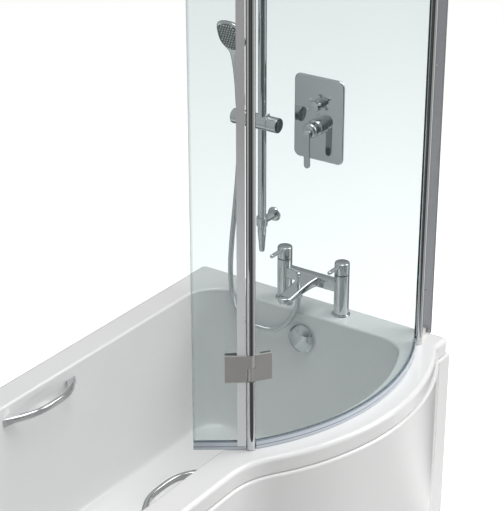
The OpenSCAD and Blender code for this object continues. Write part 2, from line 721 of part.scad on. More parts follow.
// A tail is plain and thinner above its thread
shank_r = 10;
thread_l = 36;
cartridge_r = 11;
spindle_r = 4;
hose_nut_y = -tap_y + 1;
hose_nut_x = -115;
hose_nut_z0 = rim_z + 54;
spout_tip_x = -tap_x - spout_reach + spout_w / 2;
aerator_r = 12;
function spout_top(u) = rim_z + 105 - 24 * u;
function spout_under(u) = rim_z + 66 - 9 * u;
module at_pillars() {
  for (s = [-1, 1])
    translate([-tap_x, -tap_y + s * tap_pitch / 2, 0]) children();
}

// Rings of the spout: broad at the bridge, narrow and round at the tip
function spout_ring(x, w, u) =
  let (h = spout_top(u) - spout_under(u), mid = (spout_top(u) + spout_under(u)) / 2)
  [for (p = oblong(w, h, min(6, w / 2 - 0.2))) [x, -tap_y - p[0], mid + p[1]]];

module tap_body() {
  bridge_w = 28;
  flare = 62;
  color("Silver") place() difference() {
    union() {
      at_pillars() along_z(0, 0, rim_z + flange_h, pillar_top, pillar_d / 2);
      translate([-tap_x, -tap_y + tap_pitch / 2, rim_z + 85.5]) rotate([90, 0, 0])
        linear_extrude(tap_pitch) polygon(oblong(bridge_w, 39, 7));
      sweep(concat(
        [for (i = [0 : 8]) let (u = i / 8, x = lerp(-tap_x, spout_tip_x, u))
          spout_ring(x, spout_w + flare * pow(1 - u, 2.4), u)],
        [for (a = [22, 42, 60, 74, 84])
          spout_ring(spout_tip_x - spout_w / 2 * sin(a), spout_w * cos(a), 1)]));
    }
    at_pillars() {
      along_z(0, 0, pillar_top - 30, pillar_top + 1, cartridge_r);
      along_z(0, 0, rim_z + flange_h - 1, pillar_top - 36, tail_r - 3);
    }
    along_z(hose_nut_x, hose_nut_y, rim_z, hose_nut_z0 + 12, 11);
    along_z(spout_tip_x, -tap_y, rim_z, spout_under(1) + 5, aerator_r);
    along_z(hose_nut_x, hose_nut_y, rim_z + 74, rim_z + 110, spindle_r + fit);
  }
}

module tap_flanges() {
  color("Silver") place() at_pillars() difference() {
    translate([0, 0, rim_z]) cylinder(h = flange_h, r1 = pillar_d / 2 + 5, r2 = pillar_d / 2 + 3);
    along_z(0, 0, rim_z - 1, rim_z + flange_h + 1, shank_r);
  }
}

module tap_cartridges() {
  color("Goldenrod") place() at_pillars() {
    along_z(0, 0, pillar_top - 30, pillar_top, cartridge_r);
    along_z(0, 0, pillar_top - 1, pillar_top + 24, spindle_r);
  }
}

module tap_tails() {
  color("Goldenrod") place() at_pillars() difference() {
    union() {
      along_z(0, 0, rim_z - 62, rim_z - 62 + thread_l, tail_r);
      along_z(0, 0, rim_z - 62, rim_z + flange_h, shank_r);
    }
    along_z(0, 0, rim_z - 63, rim_z + flange_h + 1, tail_r - 3);
  }
}

module tap_backnuts() {
  top = rim_z - shell_t;
  color("Goldenrod") place() at_pillars() difference() {
    union() {
      hexagon(0, 0, top - 9, top - 2, 30);
      along_z(0, 0, top - 2, top, 18);
    }
    along_z(0, 0, top - 10, top + 1, shank_r);
  }
}

module spout_aerator() {
  z0 = spout_under(1) - 8;
  color("Silver") place() difference() {
    along_z(spout_tip_x, -tap_y, z0, z0 + 13, aerator_r);
    along_z(spout_tip_x, -tap_y, z0 - 1, z0 + 3, aerator_r - 3);
  }
}

// One handle: a domed cap that turns on the spindle, with a thin lever
module tap_handle() {
  z0 = pillar_top + 0.8;
  r = pillar_d / 2;
  edge = 3;
  lever_z = pillar_top + 30;
  lever_l = 69;
  lever_r = 4.5;
  difference() {
    union() {
      translate([0, 0, z0]) rotate_extrude() polygon([[0, 0], [r - 0.6, 0], [r, 0.6],
        [r, handle_h - edge - 1], [r - 0.9, handle_h - 2], [r - edge, handle_h - 0.8], [0, handle_h]]);
      along_x(-lever_l + lever_r, 0, 0, lever_z, lever_r);
      translate([-lever_l + lever_r, 0, lever_z]) sphere(r = lever_r);
    }
    along_z(0, 0, z0 - 1, pillar_top + 24.4, spindle_r + fit);
  }
}

module hot_handle() {
  color("Silver") place() translate([-tap_x, -tap_y + tap_pitch / 2, 0]) tap_handle();
}

module cold_handle() {
  color("Silver") place() translate([-tap_x, -tap_y - tap_pitch / 2, 0]) tap_handle();
}

module tap_diverter() {
  z0 = rim_z + 76;
  knob_z = rim_z + 111;
  color("Silver") place() translate([hose_nut_x, hose_nut_y, 0]) {
    along_z(0, 0, z0, knob_z + 1, spindle_r);
    translate([0, 0, knob_z]) rotate_extrude() polygon(concat([[0, 0], [5, 0]],
      [for (a = [-50 : 20 : 90]) [7 * cos(a), 9 + 7 * sin(a)]]));
  }
}

module tap_hose_nut() {
  color("Silver") place() difference() {
    along_z(hose_nut_x, hose_nut_y, hose_nut_z0, hose_nut_z0 + 12, 11);
    along_z(hose_nut_x, hose_nut_y, hose_nut_z0 - 1, hose_nut_z0 + 13, 5);
  }
}

// --- shower hose --------------------------------------------------------------------------
// The hose's line from the handset's nut down into the bath and up to the filler's nut
hose_line = [[-62, -172, 972], [-62, -172, 956], [-62.5, -171, 938], [-65, -168, 900], [-68, -166, 850],
  [-73, -163, 790], [-80, -161, 730], [-88, -160, 670], [-98, -163, 610], [-106, -170, 560],
  [-112, -182, 516], [-115, -201, 484], [-116, -230, 466], [-116, -264, 460], [-116, -300, 462],
  [-116, -332, 475], [-116, -359, 498], [-116, -379, 530], [-115.3, -391, 553], [-115, -393, 569],
  [-115, -393, 585]];
hose_n = len(hose_line) - 1;
hose_top = [-rail_x - 2, -rail_y + 68, slider_z - 55.5];
hose_foot = [hose_nut_x, hose_nut_y, hose_nut_z0];
// The line follows its two nuts when they are moved
hose_route = [for (i = [0 : hose_n])
  hose_line[i] + lerp(hose_top - hose_line[0], hose_foot - hose_line[hose_n], i / hose_n)];
function spline(p, i, t) =
  let (a = i > 0 ? p[i - 1] : 2 * p[0] - p[1], b = p[i], c = p[i + 1],
       d = i + 2 < len(p) ? p[i + 2] : 2 * c - b)
  0.5 * (2 * b + (c - a) * t + (2 * a - 5 * b + 4 * c - d) * t * t + (3 * b - a - 3 * c + d) * t * t * t);
hose_fine = concat([for (i = [0 : hose_n - 1], t = [0 : 0.125 : 0.99]) spline(hose_route, i, t)],
  [hose_route[hose_n]]);
function run_lengths(p, i = 0, s = 0) =
  i >= len(p) ? [] : concat([s], run_lengths(p, i + 1, i + 1 < len(p) ? s + norm(p[i + 1] - p[i]) : s));
hose_s = run_lengths(hose_fine);
hose_l = hose_s[len(hose_s) - 1];
hose_table = [for (k = [0 : 2]) [for (i = [0 : len(hose_s) - 1]) [hose_s[i], hose_fine[i][k]]]];
function hose_at(s) = [for (k = [0 : 2]) lookup(s, hose_table[k])];
hose_ribs = 150;
rib_depth = 0.9;
hose_bore_r = 4;

// A ring of eight points round the hose's line at length s
function hose_ring(s, r, n = 8) =
  let (along = unit(hose_at(min(hose_l, s + 4)) - hose_at(max(0, s - 4))),
       tangent = s < hose_d ? [0, 0, -1] : s > hose_l - hose_d ? [0, 0, 1] : along,
       across = unit(cross([1, 0, 0], tangent)), up = cross(tangent, across), c = hose_at(s))
  [for (i = [0 : n - 1]) c + r * (across * cos(360 * i / n) + up * sin(360 * i / n))];

rib_pitch = (hose_l - 2 * hose_d) / hose_ribs;
hose_gap = min([for (i = [0 : 4 : 2 * hose_ribs], j = [i + 40 : 4 : 2 * hose_ribs])
  norm(hose_at(i * rib_pitch / 2) - hose_at(j * rib_pitch / 2))]) - hose_d;
echo(hose_length = hose_l, least_gap_to_itself = hose_gap);

module shower_hose() {
  crest = hose_d / 2;
  outer = concat([hose_ring(0, crest)],
    [for (i = [0 : hose_ribs - 1], k = [0, 0.5])
      hose_ring(hose_d + (i + k) * rib_pitch, crest - (k == 0 ? 0 : rib_depth))],
    [hose_ring(hose_l - hose_d, crest), hose_ring(hose_l, crest)]);
  inner = [for (i = [0 : 76]) hose_ring(hose_l * i / 76, hose_bore_r)];
  n = 8;
  m = len(outer);
  k = len(inner);
  base = n * m;
  color("Silver") place() polyhedron(concat([for (r = outer) each r], [for (r = inner) each r]), concat(
    [for (i = [0 : m - 2]) each band(i * n, (i + 1) * n, n)],
    [for (i = [0 : k - 2]) each [for (f = band(base + i * n, base + (i + 1) * n, n)) [f[0], f[2], f[1]]]],
    [for (i = [0 : n - 1]) let (j = (i + 1) % n) each [[i, j, base + j], [i, base + j, base + i]]],
    [for (i = [0 : n - 1]) let (j = (i + 1) % n, a = (m - 1) * n, b = base + (k - 1) * n)
      each [[a + i, b + j, a + j], [a + i, b + i, b + j]]]), convexity = 10);
}

// --- rail, slider and handset -------------------------------------------------------------
rail_r = rail_d / 2;
rail_bottom = rail_z - 18;
rail_top = rail_z + rail_pitch + 18;
module rail_tube() {
  color("Silver") place() difference() {
    along_z(-rail_x, -rail_y, rail_bottom, rail_top, rail_r);
    along_z(-rail_x, -rail_y, rail_bottom - 1, rail_top + 1, rail_r - 1.5);
  }
}

// The tapered end pieces of the rail
module rail_ends() {
  profile = [[0, -4], [6, -4], [7, -3], [7.6, 4], [9, 26], [rail_r + 0.5, 54], [rail_r + 0.5, 66], [0, 66]];
  color("Silver") place() translate([-rail_x, -rail_y, 0]) {
    translate([0, 0, rail_bottom - 66]) rotate_extrude() polygon(profile);
    translate([0, 0, rail_top]) cylinder(h = 10, r = rail_r + 0.5);
  }
}

module rail_brackets() {
  stem_r = 10;
  rose_r = 20;
  color("Silver") place() for (z = [rail_z, rail_z + rail_pitch]) difference() {
    union() {
      along_x(-rail_x, 0, -rail_y, z, stem_r);
      translate([0, -rail_y, z]) rotate([0, -90, 0]) cylinder(h = 6, r1 = rose_r, r2 = rose_r - 2);
      along_z(-rail_x, -rail_y, z - 13, z + 13, rail_r + 4);
    }
    along_z(-rail_x, -rail_y, z - 20, z + 20, rail_r);
  }
}

slider_r = slider_d / 2;
slider_right = -rail_y - 22;
slider_left = -rail_y + 46;
pivot_r = 8;
module slider_body() {
  color("Silver") place() difference() {
    union() {
      along_y(-rail_x, slider_right, slider_left, slider_z, slider_r);
      for (x = [-6, 6])
        along_z(-rail_x + x, slider_right + 6, slider_z + slider_r - 3, slider_z + slider_r + 5, 3);
    }
    along_z(-rail_x, -rail_y, slider_z - slider_r - 1, slider_z + slider_r + 6, rail_r + fit);
    along_y(-rail_x, slider_left - 12, slider_left + 1, slider_z, pivot_r + fit);
    along_y(-rail_x, slider_right - 1, slider_right + 9, slider_z, pivot_r + fit);
  }
}

module slider_knob() {
  gap = 0.6;
  color("Silver") place() {
    along_y(-rail_x, slider_right - 30, slider_right - gap, slider_z, slider_r);
    along_y(-rail_x, slider_right - gap - 1, slider_right + 8, slider_z, pivot_r);
  }
}

// The handset stands in a cone in the holder, which tilts about the slider's own axis
handset_y = -rail_y + 68;
handset_x = -rail_x - 2;
cone_z0 = slider_z - 28;
cone_z1 = slider_z + 34;
cone_r0 = 9.5;
cone_r1 = 12;
module holder_cone(extra) {
  rate = (cone_r1 - cone_r0) / (cone_z1 - cone_z0);
  translate([handset_x, handset_y, cone_z0 - extra])
    cylinder(h = cone_z1 - cone_z0 + 2 * extra, r1 = cone_r0 - rate * extra, r2 = cone_r1 + rate * extra);
}

module handset_holder() {
  gap = 0.6;
  half_slot = 7.6;
  color("Silver") place() difference() {
    union() {
      along_y(-rail_x, slider_left + gap, slider_left + 44, slider_z, slider_r);
      along_y(-rail_x, slider_left - 11, slider_left + gap + 1, slider_z, pivot_r);
    }
    holder_cone(4);
    box(-rail_x - slider_r - 1, handset_x, handset_y - half_slot, handset_y + half_slot,
      slider_z - slider_r - 1, slider_z + slider_r + 1);
  }
}

// The handset's middle line leaves the upright above its holder and leans out over the bath
function handset_line(z) = handset_x - 60 * pow(max(0, z - cone_z1 + 8) / 255, 2);
// Rings of the handset: height, width, thickness
handset_sizes = [[0, 24, 24], [14, 25, 23], [45, 25.5, 21], [85, 26, 19], [120, 26, 18], [140, 27, 17.5],
  [150, 31, 17.5], [158, 42, 17.5], [166, 57, 18], [176, 71, 18], [190, 78, 18], [208, 78, 17.5],
  [222, 73, 16.5], [232, 62, 15], [238, 44, 12], [240.5, 20, 8]];
handset_scale = head_w / 78;
function handset_ring(h) =
  let (z = cone_z1 + h[0], w = h[1] * (h[1] > 30 ? handset_scale : 1), c = handset_line(z))
  [for (p = oblong(h[2], w, h[2] * 0.46, 4)) [c + p[0], handset_y + p[1], z]];

module handset_body() {
  color("Silver") place() {
    sweep([for (h = handset_sizes) handset_ring(h)]);
    holder_cone(0);
  }
}

// The nozzle plate lies on the face that looks out over the bath
module spray_face() {
  plate_t = 2.4;
  margin = 19;
  rows = [for (i = [8 : 13]) handset_sizes[i]];
  color("DimGray") place() sweep([for (h = rows)
    let (z = cone_z1 + h[0], x = handset_line(z) - h[2] / 2, w = h[1] * handset_scale / 2 - margin / 2)
    [[x, handset_y + w, z], [x - plate_t * 0.6, handset_y + w, z], [x - plate_t, handset_y + w - 4, z],
     [x - plate_t, handset_y - w + 4, z], [x - plate_t * 0.6, handset_y - w, z], [x, handset_y - w, z]]]);
}

module handset_nut() {
  z0 = slider_z - 55.5;
  color("Silver") place() difference() {
    translate([handset_x, handset_y, z0]) cylinder(h = cone_z0 - z0, r1 = 8, r2 = cone_r0);
    along_z(handset_x, handset_y, z0 - 1, cone_z0 + 1, 5);
  }
}

// --- concealed valve ----------------------------------------------------------------------
plate_t = 5;
upper_z = plate_z + 41;
lower_z = plate_z - 19;
upper_r = 15;
lower_r = 23;
upper_out = 18;
lower_out = 27;
stem_r = 5;
module valve_plate() {
  color("Silver") place() difference() {
    translate([0, -plate_y, plate_z]) rotate([0, -90, 0])
      linear_extrude(plate_t) polygon(oblong(plate_h, plate_w, 18, 6));
    along_x(-plate_t - 1, 1, -plate_y, upper_z, upper_r);
    along_x(-plate_t - 1, 1, -plate_y, lower_z, lower_r);
  }
}

// The brass body in the wall, with two inlets below and an outlet above
module valve_body() {
  port_r = 12;
  color("Goldenrod") place() difference() {
    union() {
      along_x(1, valve_depth, -plate_y, lower_z, 26);
      along_x(1, valve_depth - 6, -plate_y, upper_z, 20);
      along_z(valve_depth / 2, -plate_y, lower_z, upper_z + 38, 17);
      for (s = [-1, 1])
        along_y(valve_depth / 2, s > 0 ? -plate_y : -plate_y - 42, s > 0 ? -plate_y + 42 : -plate_y,
          lower_z, port_r);
    }
    along_z(valve_depth / 2, -plate_y, upper_z + 22, upper_z + 39, port_r - 3);
    for (s = [-1, 1])
      along_y(valve_depth / 2, s > 0 ? -plate_y + 28 : -plate_y - 43, s > 0 ? -plate_y + 43 : -plate_y - 28,
        lower_z, port_r - 3);
    for (z = [upper_z, lower_z])
      along_x(0, 12, -plate_y, z, stem_r);
  }
}

module valve_sleeves() {
  color("Silver") place() translate([0, -plate_y, 0]) {
    difference() {
      along_x(-upper_out, 0, 0, upper_z, upper_r);
      along_x(-upper_out - 1, 1, 0, upper_z, upper_r - 3);
    }
    translate([0, 0, lower_z]) rotate([0, -90, 0]) rotate_extrude() polygon([[12, 0], [lower_r, 0],
      [lower_r, 18], [lower_r - 0.8, 22], [lower_r - 3, lower_out - 1.5], [lower_r - 6, lower_out],
      [12, lower_out]]);
  }
}

module valve_spindles() {
  color("Goldenrod") place() translate([0, -plate_y, 0]) {
    along_x(-upper_out - 10, 12, 0, upper_z, stem_r);
    along_x(-lower_out - 16, 12, 0, lower_z, stem_r);
  }
}

// The upper control: a hub with a thin bar through it, a ball at each end
module valve_cross() {
  hub_out = upper_out + 14;
  bar_half = 20;
  color("Silver") place() difference() {
    union() {
      along_x(-hub_out, -upper_out - 0.6, -plate_y, upper_z, upper_r - 1);
      translate([-hub_out + 5, -plate_y, upper_z]) rotate([20, 0, 0]) {
        along_y(0, -bar_half, bar_half, 0, 2.2);
        for (s = [-1, 1])
          translate([0, s * bar_half, 0]) sphere(r = 4, $fn = 24);
      }
    }
    along_x(-upper_out - 10.4, 1, -plate_y, upper_z, stem_r + fit);
  }
}

// The lower control: a round hub with an arm that turns down into a flat paddle
module valve_lever() {
  hub_r = 20;
  hub_out = lower_out + 24;
  paddle_x = hub_out + 5;
  paddle_w = 16;
  color("Silver") place() difference() {
    union() {
      translate([-lower_out - 0.6, -plate_y, lower_z]) rotate([0, -90, 0]) rotate_extrude()
        polygon([[0, 0], [hub_r, 0], [hub_r, 17], [hub_r - 2, 21], [hub_r - 6, 23.4], [0, 23.4]]);
      translate([0, -plate_y + paddle_w / 2, lower_z]) rotate([90, 0, 0]) linear_extrude(paddle_w)
        polygon([[-hub_out + 14, -8], [-hub_out - 2, -4], [-hub_out - 1, 5], [-hub_out - 4, 7],
          [-paddle_x - 3, 2], [-paddle_x - 5, -8], [-paddle_x - 3, -40], [-paddle_x - 1, -92],
          [-paddle_x + 5, -92], [-paddle_x + 3, -40], [-paddle_x + 2, -20], [-hub_out + 12, -16]]);
      translate([-paddle_x - 1, -plate_y, lower_z - 92]) rotate([0, 90, 0]) cylinder(h = 6, r = paddle_w / 2);
    }
    along_x(-lower_out - 16.4, 1, -plate_y, lower_z, stem_r + fit);
  }
}

// --- screen -------------------------------------------------------------------------------
screen_top = rim_z + screen_h;
screen_c = [-bulge_x - 4, screen_r + screen_in - bulge_reach];
pivot_x = 74;
end_x = 740;
// The post at the wall stands outside the pane's line, which runs in a rebate along it
pivot_off = 8.5;
function screen_angle(x, off = 0) = asin((-screen_c[0] - x) / (screen_r + off));
function screen_p(x, off = 0) = [-x, screen_c[1] - (screen_r + off) * cos(screen_angle(x, off))];
pivot_p = screen_p(pivot_x, pivot_off);
end_p = screen_p(end_x);
glass_z = rim_z + 10;
glass_top = screen_top - 8;
post_z = rim_z + 12.5;
post_top = screen_top - 13;
pin_r = 5;
hinge_pin_r = 4;
barrel_r = 8.5;
end_r = end_post_d / 2;
hinge_zs = [rim_z + hinge_rise, screen_top - hinge_rise];
hinge_gap = 0.8;
curve_bolt_x = 37;
fold_bolt_x = 43;

// An upright sheet on the screen's curve, between two radii and two angles
module arc_sheet(in, out, a0, a1, z0, z1) {
  translate([screen_c[0], screen_c[1], z0]) rotate([0, 0, a0 - 90])
    rotate_extrude(angle = a1 - a0, $fn = 240) translate([screen_r - in, 0]) square([in + out, z1 - z0]);
}

module curved_pane(z0, z1) {
  slot_in = 6;
  past_pivot = 5;
  arc_sheet(glass_t / 2, glass_t / 2, screen_angle(end_x) + 57.3 * slot_in / screen_r,
    screen_angle(pivot_x, pivot_off) + 57.3 * past_pivot / screen_r, z0, z1);
}

// A flat channel on the wall, wide enough to carry both bracket arms
channel_y = pivot_p[1] + 21.4;
channel_t = 7;
module wall_channel() {
  half = 20;
  color("Silver") place() difference() {
    box(-channel_t, 0, channel_y - half, channel_y + half, rim_z, screen_top);
    for (s = [-1, 1])
      box(-channel_t + 2, 1, channel_y + s * 11 - 7, channel_y + s * 11 + 7, rim_z - 1, screen_top + 1);
    for (z = [rim_z + 120, rim_z + screen_h / 2, screen_top - 120])
      along_x(-channel_t - 1, 1, channel_y, z, 2.6);
  }
}

// Moulded arms at the ends of the channel reach out to the pivot pins
module pivot_brackets() {
  block_h = 12;
  pin_l = 20;
  pad_r = pivot_d / 2 + 1;
  turn = atan2(channel_y - pivot_p[1], pivot_x);
  reach = norm([pivot_x, channel_y - pivot_p[1]]);
  color("White") place() for (end = [0, 1]) {
    z0 = end == 0 ? rim_z : screen_top - block_h;
    difference() {
      translate([pivot_p[0], pivot_p[1], 0]) rotate([0, 0, turn]) box(0, reach, -6, 6, z0, z0 + block_h);
      box(-channel_t, 20, channel_y - 30, channel_y + 30, z0 - 1, z0 + block_h + 1);
    }
    along_z(pivot_p[0], pivot_p[1], z0, z0 + block_h, pad_r);
    along_z(pivot_p[0], pivot_p[1], end == 0 ? z0 : z0 - pin_l, end == 0 ? z0 + block_h + pin_l : z0 + block_h, pin_r);
  }
}

module pivot_post() {
  color("Silver") place() difference() {
    along_z(pivot_p[0], pivot_p[1], post_z, post_top, pivot_d / 2);
    along_z(pivot_p[0], pivot_p[1], post_z - 1, post_z + 24, pin_r + fit);
    along_z(pivot_p[0], pivot_p[1], post_top - 24, post_top + 1, pin_r + fit);
    curved_pane(glass_z, glass_top);
  }
}

module curved_glass() {
  color("LightCyan", 0.4) place() difference() {
    curved_pane(glass_z, glass_top);
    for (z = hinge_zs)
      along_z(end_p[0], end_p[1], z - hinge_h / 2 - hinge_gap, z + hinge_h / 2 + hinge_gap, end_r + 0.6);
    for (z = hinge_zs)
      at_curve_leaf(z) hinge_bolts(5.6, curve_bolt_x);
    for (z = [[glass_z - 1, post_z], [post_top, glass_top + 1]]) {
      along_z(pivot_p[0], pivot_p[1], z[0], z[1], pivot_d / 2 + 2);
      along_z(end_p[0], end_p[1], z[0], z[1], end_r + 0.6);
    }
  }
}

// A clear wiping strip with two lips, clipped on the lower edge of the curved pane
seal_t = 1.6;
seal_h = 11;
lip_z = rim_z + 1;
module curved_seal() {
  a0 = screen_angle(end_x) + 57.3 * (end_r + 1.5) / screen_r;
  a1 = screen_angle(pivot_x, pivot_off) - 57.3 * (pivot_d / 2 + 2.5) / screen_r;
  half = glass_t / 2;
  color("LightSteelBlue") place() {
    arc_sheet(half + seal_t, half + seal_t, a0, a1, glass_z - 2, glass_z);
    arc_sheet(half + seal_t, -half, a0, a1, glass_z, glass_z + seal_h);
    arc_sheet(-half, half + seal_t, a0, a1, glass_z, glass_z + seal_h);
    arc_sheet(half + seal_t, -half - seal_t + 2.4, a0, a1, lip_z, glass_z - 2);
    arc_sheet(-half - seal_t + 2.4, half + seal_t, a0, a1, lip_z, glass_z - 2);
  }
}

// Local axes at a leaf: x along the pane from the fold axis, y to the room side
leaf_turn = screen_angle(end_x) + 57.3 * 25 / screen_r;
module at_curve_leaf(z) {
  translate([end_p[0], end_p[1], z]) rotate([0, 0, leaf_turn]) mirror([0, 1, 0]) children();
}

module at_fold(z) {
  translate([end_p[0], end_p[1], z]) rotate([0, 0, fold_angle]) children();
}

module hinge_bolts(r, bolt_x) {
  for (z = [-1, 1])
    translate([bolt_x, -12, z * hinge_h * 0.27]) rotate([-90, 0, 0]) cylinder(h = 24, r = r);
}

// A leaf with its half of the knuckle, clamped through the pane to a plate on the bath side
module hinge_leaf(lower, leaf_y, back_y, leaf_l, bolt_x) {
  half = hinge_h / 2;
  leaf_t = 4.4;
  difference() {
    union() {
      box(0, leaf_l, leaf_y, leaf_y + leaf_t, -half, half);
      translate([0, 0, lower ? -half : hinge_gap / 2]) cylinder(h = half - hinge_gap / 2, r = barrel_r);
    }
    translate([0, 0, lower ? 0 : -half - 1]) cylinder(h = half + 1, r = barrel_r + 0.6);
    box(-1, barrel_r + 0.6, leaf_y - 1, leaf_y + leaf_t + 1, lower ? -hinge_gap / 2 : -half - 1,
      lower ? half + 1 : hinge_gap / 2);
    translate([0, 0, -half - 1]) cylinder(h = hinge_h + 2, r = hinge_pin_r + (lower ? 0 : fit));
  }
  box(24, leaf_l, -back_y - 3, -back_y, -half, half);
  difference() {
    hinge_bolts(5, bolt_x);
    box(bolt_x - 8, bolt_x + 8, leaf_y, 20, -half, half);
    box(bolt_x - 8, bolt_x + 8, -20, -back_y, -half, half);
  }
}

module end_post() {
  color("Silver") place() difference() {
    along_z(end_p[0], end_p[1], post_z - 11, post_top, end_r);
    for (z = hinge_zs)
      along_z(end_p[0], end_p[1], z - hinge_h / 2 - hinge_gap, z + hinge_h / 2 + hinge_gap, end_r + 1);
    curved_pane(post_z, post_top + 1);
    for (z = hinge_zs)
      along_z(end_p[0], end_p[1], z - hinge_h / 2 - 9, z + hinge_h / 2 + 9, hinge_pin_r);
  }
}

module screen_hinges() {
  color("Silver") place() for (z = hinge_zs)
    at_curve_leaf(z) hinge_leaf(true, glass_t / 2 + 0.8, glass_t / 2 + 0.4, 48, curve_bolt_x);
}

module hinge_pins() {
  color("Silver") place() for (z = hinge_zs)
    along_z(end_p[0], end_p[1], z - hinge_h / 2 - 9, z + hinge_h / 2 + 9, hinge_pin_r);
}

strip_in = end_r + 1.6;
strip_out = strip_in + 18.5;
strip_half = 6;
fold_in = strip_out - 9;
module fold_glass() {
  half = glass_t / 2;
  color("LightCyan", 0.4) place() difference() {
    at_fold(0) box(fold_in, fold_w, -half, half, glass_z, glass_top);
    for (z = hinge_zs)
      at_fold(z) hinge_bolts(5.6, fold_bolt_x);
  }
}

// A pale strip closes the folding pane against the post
module fold_strip() {
  half = glass_t / 2;
  color("WhiteSmoke") place() difference() {
    at_fold(0) box(strip_in, strip_out, -strip_half, strip_half, glass_z, glass_top);
    at_fold(0) box(fold_in, strip_out + 1, -half, half, glass_z - 1, glass_top + 1);
    for (z = hinge_zs)
      at_fold(z) hinge_bolts(5.6, fold_bolt_x);
  }
}

module fold_seal() {
  half = glass_t / 2;
  outer = half + seal_t;
  color("LightSteelBlue") place() at_fold(0) difference() {
    union() {
      box(strip_out + 0.5, fold_w, -outer, outer, glass_z - 2, glass_z + seal_h);
      box(strip_in, fold_w, -outer, outer, glass_z - 2, glass_z);
      for (s = [0, 1])
        mirror([0, s, 0]) box(strip_in, fold_w, outer - 2.4, outer, lip_z, glass_z - 1);
    }
    box(fold_in, fold_w + 1, -half, half, glass_z, glass_z + seal_h + 1);
  }
}

module fold_hinges() {
  color("Silver") place() for (z = hinge_zs)
    at_fold(z) hinge_leaf(false, strip_half, strip_half, 58, fold_bolt_x);
}

bath_shell();
base_board();
rim_battens();
leg_channels();
leg_studs();
leg_nuts();
foot_pads();
front_panel();
panel_clips();
floor_batten();
wall_brackets();
grip_back();
grip_front();
grip_screws();
overflow_cap();
overflow_body();
overflow_pipe();
waste_flange();
waste_plug();
waste_trap();
tap_body();
tap_flanges();
tap_cartridges();
tap_tails();
tap_backnuts();
spout_aerator();
hot_handle();
cold_handle();
tap_diverter();
tap_hose_nut();
shower_hose();
rail_tube();
rail_ends();
rail_brackets();
slider_body();
slider_knob();
handset_holder();
handset_body();
spray_face();
handset_nut();
valve_plate();
valve_body();
valve_sleeves();
valve_spindles();
valve_lever();
valve_cross();
wall_channel();
pivot_brackets();
pivot_post();
curved_glass();
curved_seal();
end_post();
screen_hinges();
hinge_pins();
fold_glass();
fold_strip();
fold_seal();
fold_hinges();
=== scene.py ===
"""P-shaped shower bath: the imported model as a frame, with finer pieces and finishes for it.

Sizes are millimetres in the corner frame of the part: x is 0 at the tap-end wall and falls
towards the head, y is 0 at the back wall and falls towards the room, z is 0 on the floor.
"""
import json
import math

import bpy
import numpy as np
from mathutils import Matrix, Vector

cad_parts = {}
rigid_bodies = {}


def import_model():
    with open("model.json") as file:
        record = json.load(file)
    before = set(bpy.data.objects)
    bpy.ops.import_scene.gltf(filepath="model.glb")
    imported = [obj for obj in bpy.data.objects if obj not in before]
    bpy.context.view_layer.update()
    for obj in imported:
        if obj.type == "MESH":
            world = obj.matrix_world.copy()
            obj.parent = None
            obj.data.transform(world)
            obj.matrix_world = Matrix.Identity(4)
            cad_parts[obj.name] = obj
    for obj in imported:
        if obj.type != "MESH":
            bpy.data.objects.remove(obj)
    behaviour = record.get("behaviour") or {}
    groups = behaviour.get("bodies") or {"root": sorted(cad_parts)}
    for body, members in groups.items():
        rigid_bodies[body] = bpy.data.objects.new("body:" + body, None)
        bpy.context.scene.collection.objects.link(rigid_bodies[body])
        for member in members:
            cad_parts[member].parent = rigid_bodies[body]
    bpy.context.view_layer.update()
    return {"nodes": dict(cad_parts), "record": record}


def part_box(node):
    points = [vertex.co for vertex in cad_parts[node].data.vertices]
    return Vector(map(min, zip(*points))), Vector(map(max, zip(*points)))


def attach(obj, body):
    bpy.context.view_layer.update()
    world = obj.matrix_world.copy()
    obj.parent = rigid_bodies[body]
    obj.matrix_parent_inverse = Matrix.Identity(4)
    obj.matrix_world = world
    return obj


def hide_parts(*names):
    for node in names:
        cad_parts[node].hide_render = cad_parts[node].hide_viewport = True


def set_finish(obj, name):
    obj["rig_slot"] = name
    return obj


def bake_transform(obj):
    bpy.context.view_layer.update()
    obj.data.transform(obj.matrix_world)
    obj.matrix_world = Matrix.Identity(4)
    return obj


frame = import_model()
MM = 0.001
shell_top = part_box("bath_shell")[1]
WALL = np.array([shell_top.x, shell_top.y, 0.0])


def row(points):
    """Corner-frame millimetres as row-frame metres."""
    return np.asarray(points, float) * MM + WALL


# --- camera -------------------------------------------------------------------------------
CAMERA_AT = (-3401.5, -2509.7, 2519.5)
CAMERA_YAW = 34.565
CAMERA_PITCH = 24.902
CAMERA_LENS = 116.15


def make_camera():
    """The photograph's camera: it looks down by the pitch, turned by the yaw from +X towards +Y."""
    data = bpy.data.cameras.new("camera")
    data.sensor_width = 36
    data.lens = CAMERA_LENS
    data.clip_end = 50
    camera = bpy.data.objects.new("camera", data)
    camera.location = row(CAMERA_AT)
    camera.rotation_euler = (math.radians(90 - CAMERA_PITCH), 0, math.radians(CAMERA_YAW - 90))
    bpy.context.collection.objects.link(camera)
    bpy.context.scene.camera = camera


make_camera()


# --- meshes -------------------------------------------------------------------------------
CREASE = 30


def make_mesh(name, points, faces, crease=CREASE):
    """An object at the origin from corner-frame points and lists of faces. It is shaded smooth up to
    the crease angle, and large faces count for more than small ones."""
    mesh = bpy.data.meshes.new(name)
    mesh.from_pydata(row(points).tolist(), [], [list(map(int, face)) for face in faces])
    mesh.polygons.foreach_set("use_smooth", np.full(len(mesh.polygons), True))
    mesh.set_sharp_from_angle(angle=math.radians(crease))
    mesh.update()
    piece = bpy.data.objects.new(name, mesh)
    piece.modifiers.new("even shading", "WEIGHTED_NORMAL").keep_sharp = True
    bpy.context.collection.objects.link(piece)
    return piece


